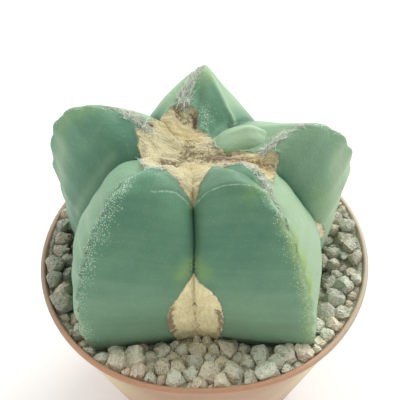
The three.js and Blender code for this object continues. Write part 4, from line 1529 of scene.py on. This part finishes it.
@dataclass(frozen=True)
class PumiceDressing:
    """Loose pumice in the ring between the body and the pot: a rough bed and three sizes of grain.

    Attributes:
        depth, bottom: mean level and underside, in mm below the rim.
        tilt, tilt_azimuth: how much higher one side lies, and which.
        clearance: gap to the pot's wall.
        sizes: [least radius, greatest radius, tries, spacing, rise in radii, sink in mm] of the grains.
        swell, crack: how much a grain outgrows its radius, and the gap in mm between neighbours.
        neighbours, facets: how many neighbours and how many random planes cut a grain.
        hollow: [x, y, reach, depth] in mm of a dip beside the front left rib.
        fillet: how much further the bed rises against the wall, in mm, away from the front.
        bank, bank_from, bank_to: how much higher the fill lies at the wall, and between which radii it rises.
    """

    depth: float = 8.0
    bottom: float = 10.5
    tilt: float = 0.6
    tilt_azimuth: float = 95.0
    clearance: float = 0.2
    seed: int = 20231
    sizes: tuple[tuple[float, float, int, float, float, float], ...] = (
        (1.8, 3.1, 8000, 0.72, 0.3, 0.0),
        (1.2, 1.8, 9000, 0.74, 0.2, 0.2),
        (0.7, 1.2, 6000, 0.8, 0.2, 0.6),
    )
    swell: float = 1.6
    crack: float = 0.04
    neighbours: int = 12
    facets: int = 14
    hollow: tuple[float, float, float, float] = (-32.0, -36.0, 9.0, 3.2)
    fillet: float = 1.3
    bank: float = 6.2
    bank_from: float = 36.0
    bank_to: float = 48.0

    def level(self, x: Array, y: Array) -> Array:
        """The surface's height: the mean level, plus tilt times the share of the way to one side, plus the
        bank, less the hollow, depth * exp(-(distance / reach)^2)."""
        angle = math.radians(self.tilt_azimuth)
        tilt = self.tilt * (x * math.cos(angle) + y * math.sin(angle)) / self.bank_to
        bank = self.bank * smoothstep(np.hypot(x, y), self.bank_from, self.bank_to)
        across, along, reach, depth = self.hollow
        hollow = depth * np.exp(-((x - across) ** 2 + (y - along) ** 2) / reach**2)
        return RIM_Z - self.depth + tilt + bank - hollow

    def sunlit(self, x: Array, y: Array) -> Array:
        """Painted light on the stone: stronger towards the front and the right, painted shade towards the
        left.
        """
        return 2.1 * smoothstep(-y, 20, 36) + 0.5 * smoothstep(x, 28, 44) - 1.0 * smoothstep(-x, 28, 42)

    def outline(self) -> Array:
        """The body's outline where it leaves the pumice, a clearance wider."""
        t = np.array([float(SOIL_KNOT)])
        across = np.array([0, 0.12, 0.34, 0.58, 0.8, 0.94])
        rows = []
        for flank in body_flanks(self.clearance):
            w = across if flank.turn > 0 else np.concatenate([[1.0], across[:0:-1]])
            rows.append(flank.points(w, t)[0][:, 0, :2])
        return np.vstack(rows)

    def throws(self, tries: int, least: float, greatest: float, wall: float, seed: int) -> Array:
        """Random [x, y, radius] inside the wall, from state = 1664525 state + 1013904223 mod 2^32."""
        state, draws = seed, np.empty(3 * tries)
        for i in range(3 * tries):
            state = (1664525 * state + 1013904223) % 2**32
            draws[i] = state / 2**32
        u = draws.reshape(-1, 3)
        reach, angle = wall * np.sqrt(u[:, 0]), 2 * np.pi * u[:, 1]
        radius = least + (greatest - least) * u[:, 2]
        return np.stack([reach * np.cos(angle), reach * np.sin(angle), radius], axis=1)

    def grains(self, wall: float) -> tuple[Array, Array]:
        """Throws the grains one size after the other, and keeps those that clear the rest.

        Args:
            wall: radius of the pot's inside at the surface, less the clearance.

        Returns:
            Kept [x, y, radius] rows, and each one's height above the surface in mm.
        """
        outline = self.outline()
        kept, lift = np.zeros((0, 3)), np.zeros(0)
        for number, (least, greatest, tries, spacing, rise, sink) in enumerate(self.sizes):
            thrown = self.throws(tries, least, greatest, wall, self.seed + number)
            reach = np.hypot(thrown[:, 0], thrown[:, 1])
            outside = -outline_depth(outline, thrown[:, :2]) > 0.35 * thrown[:, 2]
            for grain in thrown[(reach + 0.6 * thrown[:, 2] < wall) & outside]:
                gaps = np.hypot(*(kept[:, :2] - grain[:2]).T)
                if np.all(gaps > spacing * (kept[:, 2] + grain[2])):
                    kept = np.vstack([kept, grain])
                    lift = np.append(lift, rise * grain[2] - sink)
        return kept, lift

    def cuts(self, centres: Array, size: Array, wall: Array) -> tuple[Array, Array]:
        """The planes that bound each grain: halfway to its neighbours, its top, the wall, and random ones.

        Args:
            centres: the grains' middles in mm, shape (n, 3).
            size: their radii in mm.
            wall: radius of the pot's inside beside each grain.

        Returns:
            The planes' normals, shape (n, k, 3), and their distances from the middle, shape (n, k).
        """
        draw = np.random.default_rng(self.seed + 7)
        gaps = centres[None] - centres[:, None]
        distance = np.linalg.norm(gaps, axis=-1) + np.eye(len(size)) * 1e3
        near = np.argsort(distance, axis=1)[:, : self.neighbours]
        apart = np.take_along_axis(distance, near, axis=1)
        beside = np.take_along_axis(gaps, near[..., None], axis=1) / apart[..., None]
        share = size[:, None] / (size[:, None] + size[near])
        top = np.array([0, 0, 1]) + draw.normal(scale=0.3, size=(len(size), 1, 3))
        chips = draw.normal(size=(len(size), self.facets, 3))
        reach = np.hypot(centres[:, 0], centres[:, 1])
        outwards = (centres * np.array([1, 1, 0]) / reach[:, None])[:, None]
        normals = np.concatenate([beside, top, outwards, chips], axis=1)
        normals /= np.linalg.norm(normals, axis=-1, keepdims=True)
        reaches = [
            apart * share - self.crack / 2,
            size[:, None] * draw.uniform(0.7, 1.0, (len(size), 1)),
            (wall - reach)[:, None],
            size[:, None] * draw.uniform(0.82, 1.2, (len(size), self.facets)),
        ]
        return normals, np.maximum(np.concatenate(reaches, axis=1), 0.25)

    def build(self, pot: Pot, material: Material) -> list[Object]:
        """Makes the grains and the bed that they lie in."""
        wall = pot.inner(RIM_Z - 2) - self.clearance
        kept, lift = self.grains(wall)
        pressed = pot.dent(kept[:, 0], kept[:, 1], RIM_Z)
        kept[:, :2] *= 1 - pressed[:, None] / wall
        draw = np.random.default_rng(self.seed)
        count, size = len(kept), kept[:, 2]
        height = self.level(kept[:, 0], kept[:, 1]) + lift + draw.normal(scale=0.35, size=count)
        centres = np.stack([kept[:, 0], kept[:, 1], height], axis=1)
        radii = size[:, None] * self.swell * draw.uniform(0.8, 1.15, size=(count, 3))
        shape = Grains(seed=self.seed).shape(centres, radii, *self.cuts(centres, size, wall - pressed))
        # Each grain's own random tone, plus painted light and shade
        tone = draw.uniform(0, 1, count) + self.sunlit(kept[:, 0], kept[:, 1])
        channels = {"tone": per_copy(tone, shape), "tint": per_copy(draw.uniform(0, 1, count), shape)}
        piece = shape.piece("pumice_grains", Slot.PUMICE, material, channels, sharp=34)
        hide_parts("pumice_top_dressing")
        return [piece, self._bed(pot, material)]

    def _bed(self, pot: Pot, material: Material) -> Object:
        """The crumbly bed: a ring from just inside the body's skin to the pot's wall, closed underneath."""
        around, across = 256, 24
        angle = np.linspace(-np.pi, np.pi, around, endpoint=False)
        outline = self.outline()
        bearing = np.arctan2(outline[:, 1], outline[:, 0])
        order = np.argsort(bearing)
        within = 0.93 * np.interp(angle, bearing[order], np.hypot(*outline[order].T), period=2 * np.pi)
        top, under = RIM_Z - 1, RIM_Z - self.bottom
        share = np.concatenate([np.linspace(0, 1, across), [1.0, 0.0]])[:, None]
        outer = np.concatenate([np.full(across, pot.inner(top)), [pot.inner(under)] * 2])[:, None]
        outer = outer - self.clearance - pot.dent(np.cos(angle), np.sin(angle), RIM_Z)
        radius = within * (1 - share) + outer * share
        x, y = radius * np.cos(angle), radius * np.sin(angle)
        against = smoothstep(outer - radius, 2.0, 0)
        z = self.level(x, y) - 0.6 + self.fillet * against * smoothstep(y, -38, -12)
        z[across:] = under
        points = np.stack([x, y, z], axis=-1)
        points[:across, :, 2] += 0.55 * fractal(points[:across], 2.2, 31)
        shape = Shape(points.reshape(-1, 3), (ring_quads(across + 2, around, closed=True)[:, ::-1],))
        # Painted shade: the bed lies darker, as the gaps between grains do, and lighter against the wall
        tone = 1.6 * against - 0.7 + self.sunlit(x, y)
        channels = {"tone": tone, "tint": np.full(tone.shape, 0.4)}
        return shape.piece("pumice_bed", Slot.PUMICE, material, channels)


# Studio


@dataclass(frozen=True)
class Studio:
    """A white sweep under a sky that is white all round and dim where the viewer stands.

    Attributes:
        floor_half: half the floor's width in mm.
        bright, dim: the sky's strength away from the viewer and around them.
        viewer: direction to the viewer.
        fades: cosines of the angle to it between which the sky dims.
        lamps: name, place in m, size in m and power in W.
    """

    floor_half: float = 3000.0
    bright: float = 1.15
    dim: float = 0.3
    viewer: Point = (0.0, -0.64, 0.77)
    fades: tuple[float, float] = (0.5, 1.0)
    lamps: tuple[tuple[str, Point, float, float], ...] = (
        ("behind_right", (0.45, 0.5, 0.6), 0.5, 5.0),
        ("behind_left", (-0.6, 0.35, 0.5), 0.6, 1.6),
    )

    def build(self) -> None:
        """Makes the floor, the sky and the lamps."""
        corners = np.array([(-1, -1, 0), (1, -1, 0), (1, 1, 0), (-1, 1, 0)]) * self.floor_half
        mesh = Shape(corners, (np.array([(0, 1, 2, 3)]),)).mesh("floor")
        white = SurfaceRecipe("floor_white").finish(
            Base_Color=(0.93, 0.93, 0.92), Roughness=0.9, Specular_IOR_Level=0.1)
        mesh.materials.append(white)
        linked("floor", mesh)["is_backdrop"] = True
        self._sky()
        for name, place, size, power in self.lamps:
            light = bpy.data.lights.new(name, "AREA")
            light.energy, light.size = power, size
            lamp = linked(name, light)
            lamp.location = place
            lamp.rotation_euler = (-Vector(place)).to_track_quat("-Z", "Y").to_euler()

    def _sky(self) -> None:
        """A white sky whose strength falls towards the viewer; seen directly it is plain white."""
        world = bpy.data.worlds.new("studio")
        world.use_nodes = True
        bpy.context.scene.world = world
        r = Recipe(world.node_tree)
        place = r.add("ShaderNodeTexCoord").outputs["Generated"]
        towards = r.add("ShaderNodeVectorMath", {"operation": "DOT_PRODUCT"}, {0: place, 1: self.viewer})
        near = Signal(r, towards.outputs["Value"]).rise(*self.fades)
        seen = Signal(r, r.add("ShaderNodeLightPath").outputs["Is Camera Ray"])
        strength = (self.bright + near * (self.dim - self.bright)) * (1 - seen) + seen * 1.0
        sky = r.add("ShaderNodeBackground", None, {"Color": (1.0, 1.0, 0.99), "Strength": strength})
        r.add("ShaderNodeOutputWorld", None, {0: sky.outputs[0]})


@dataclass(frozen=True)
class Viewpoint:
    """The camera: where it stands in mm, which way it looks in degrees, and its lens in mm."""

    place: Point = (0.0, -91.021, 188.577)
    heading: float = 0.411
    down: float = 45.465
    roll: float = -2.018
    lens: float = 40.5

    def build(self) -> None:
        """Makes the camera: turned by its roll, tipped down, then turned to its heading."""
        data = bpy.data.cameras.new("camera")
        data.lens, data.sensor_width, data.clip_start = self.lens, 36.0, 0.005
        camera = linked("camera", data)
        turn = (
            Matrix.Rotation(math.radians(self.heading), 4, "Z")
            @ Matrix.Rotation(math.radians(90 - self.down), 4, "X")
            @ Matrix.Rotation(math.radians(self.roll), 4, "Z")
        )
        camera.matrix_world = Matrix.Translation([v * MM for v in self.place]) @ turn
        bpy.context.scene.camera = camera
        bpy.context.scene.view_settings.view_transform = "Standard"


def write_size(solid_box: tuple) -> None:
    """Logs the plain solids' box and the finished look's box as lists of metres."""
    boxes = {"cad": solid_box, "visual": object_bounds()}
    boxes = {name: [list(corner) for corner in box] for name, box in boxes.items()}
    LOG.info("size: %s", boxes)


def main() -> None:
    """Builds the pieces in order."""
    logging.basicConfig(level=logging.INFO, format="%(name)s: %(message)s")
    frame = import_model()
    solid_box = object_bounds()
    Viewpoint().build()
    Studio().build()
    skin = SkinFinish().material()
    pot = Pot()
    pot.build(PotFinish().material())
    PumiceDressing().build(pot, PumiceFinish().material())
    body = CactusBody()
    body.build(skin)
    OffsetLobe().build(skin)
    AreoleWool().build(body, WoolFinish().material())
    BarkSplinters().build(body, CorkFinish().material())
    mix = frame["nodes"]["potting_mix"]
    mix.data.materials.clear()
    mix.data.materials.append(MixFinish().material())
    write_size(solid_box)


if __name__ == "__main__":
    main()
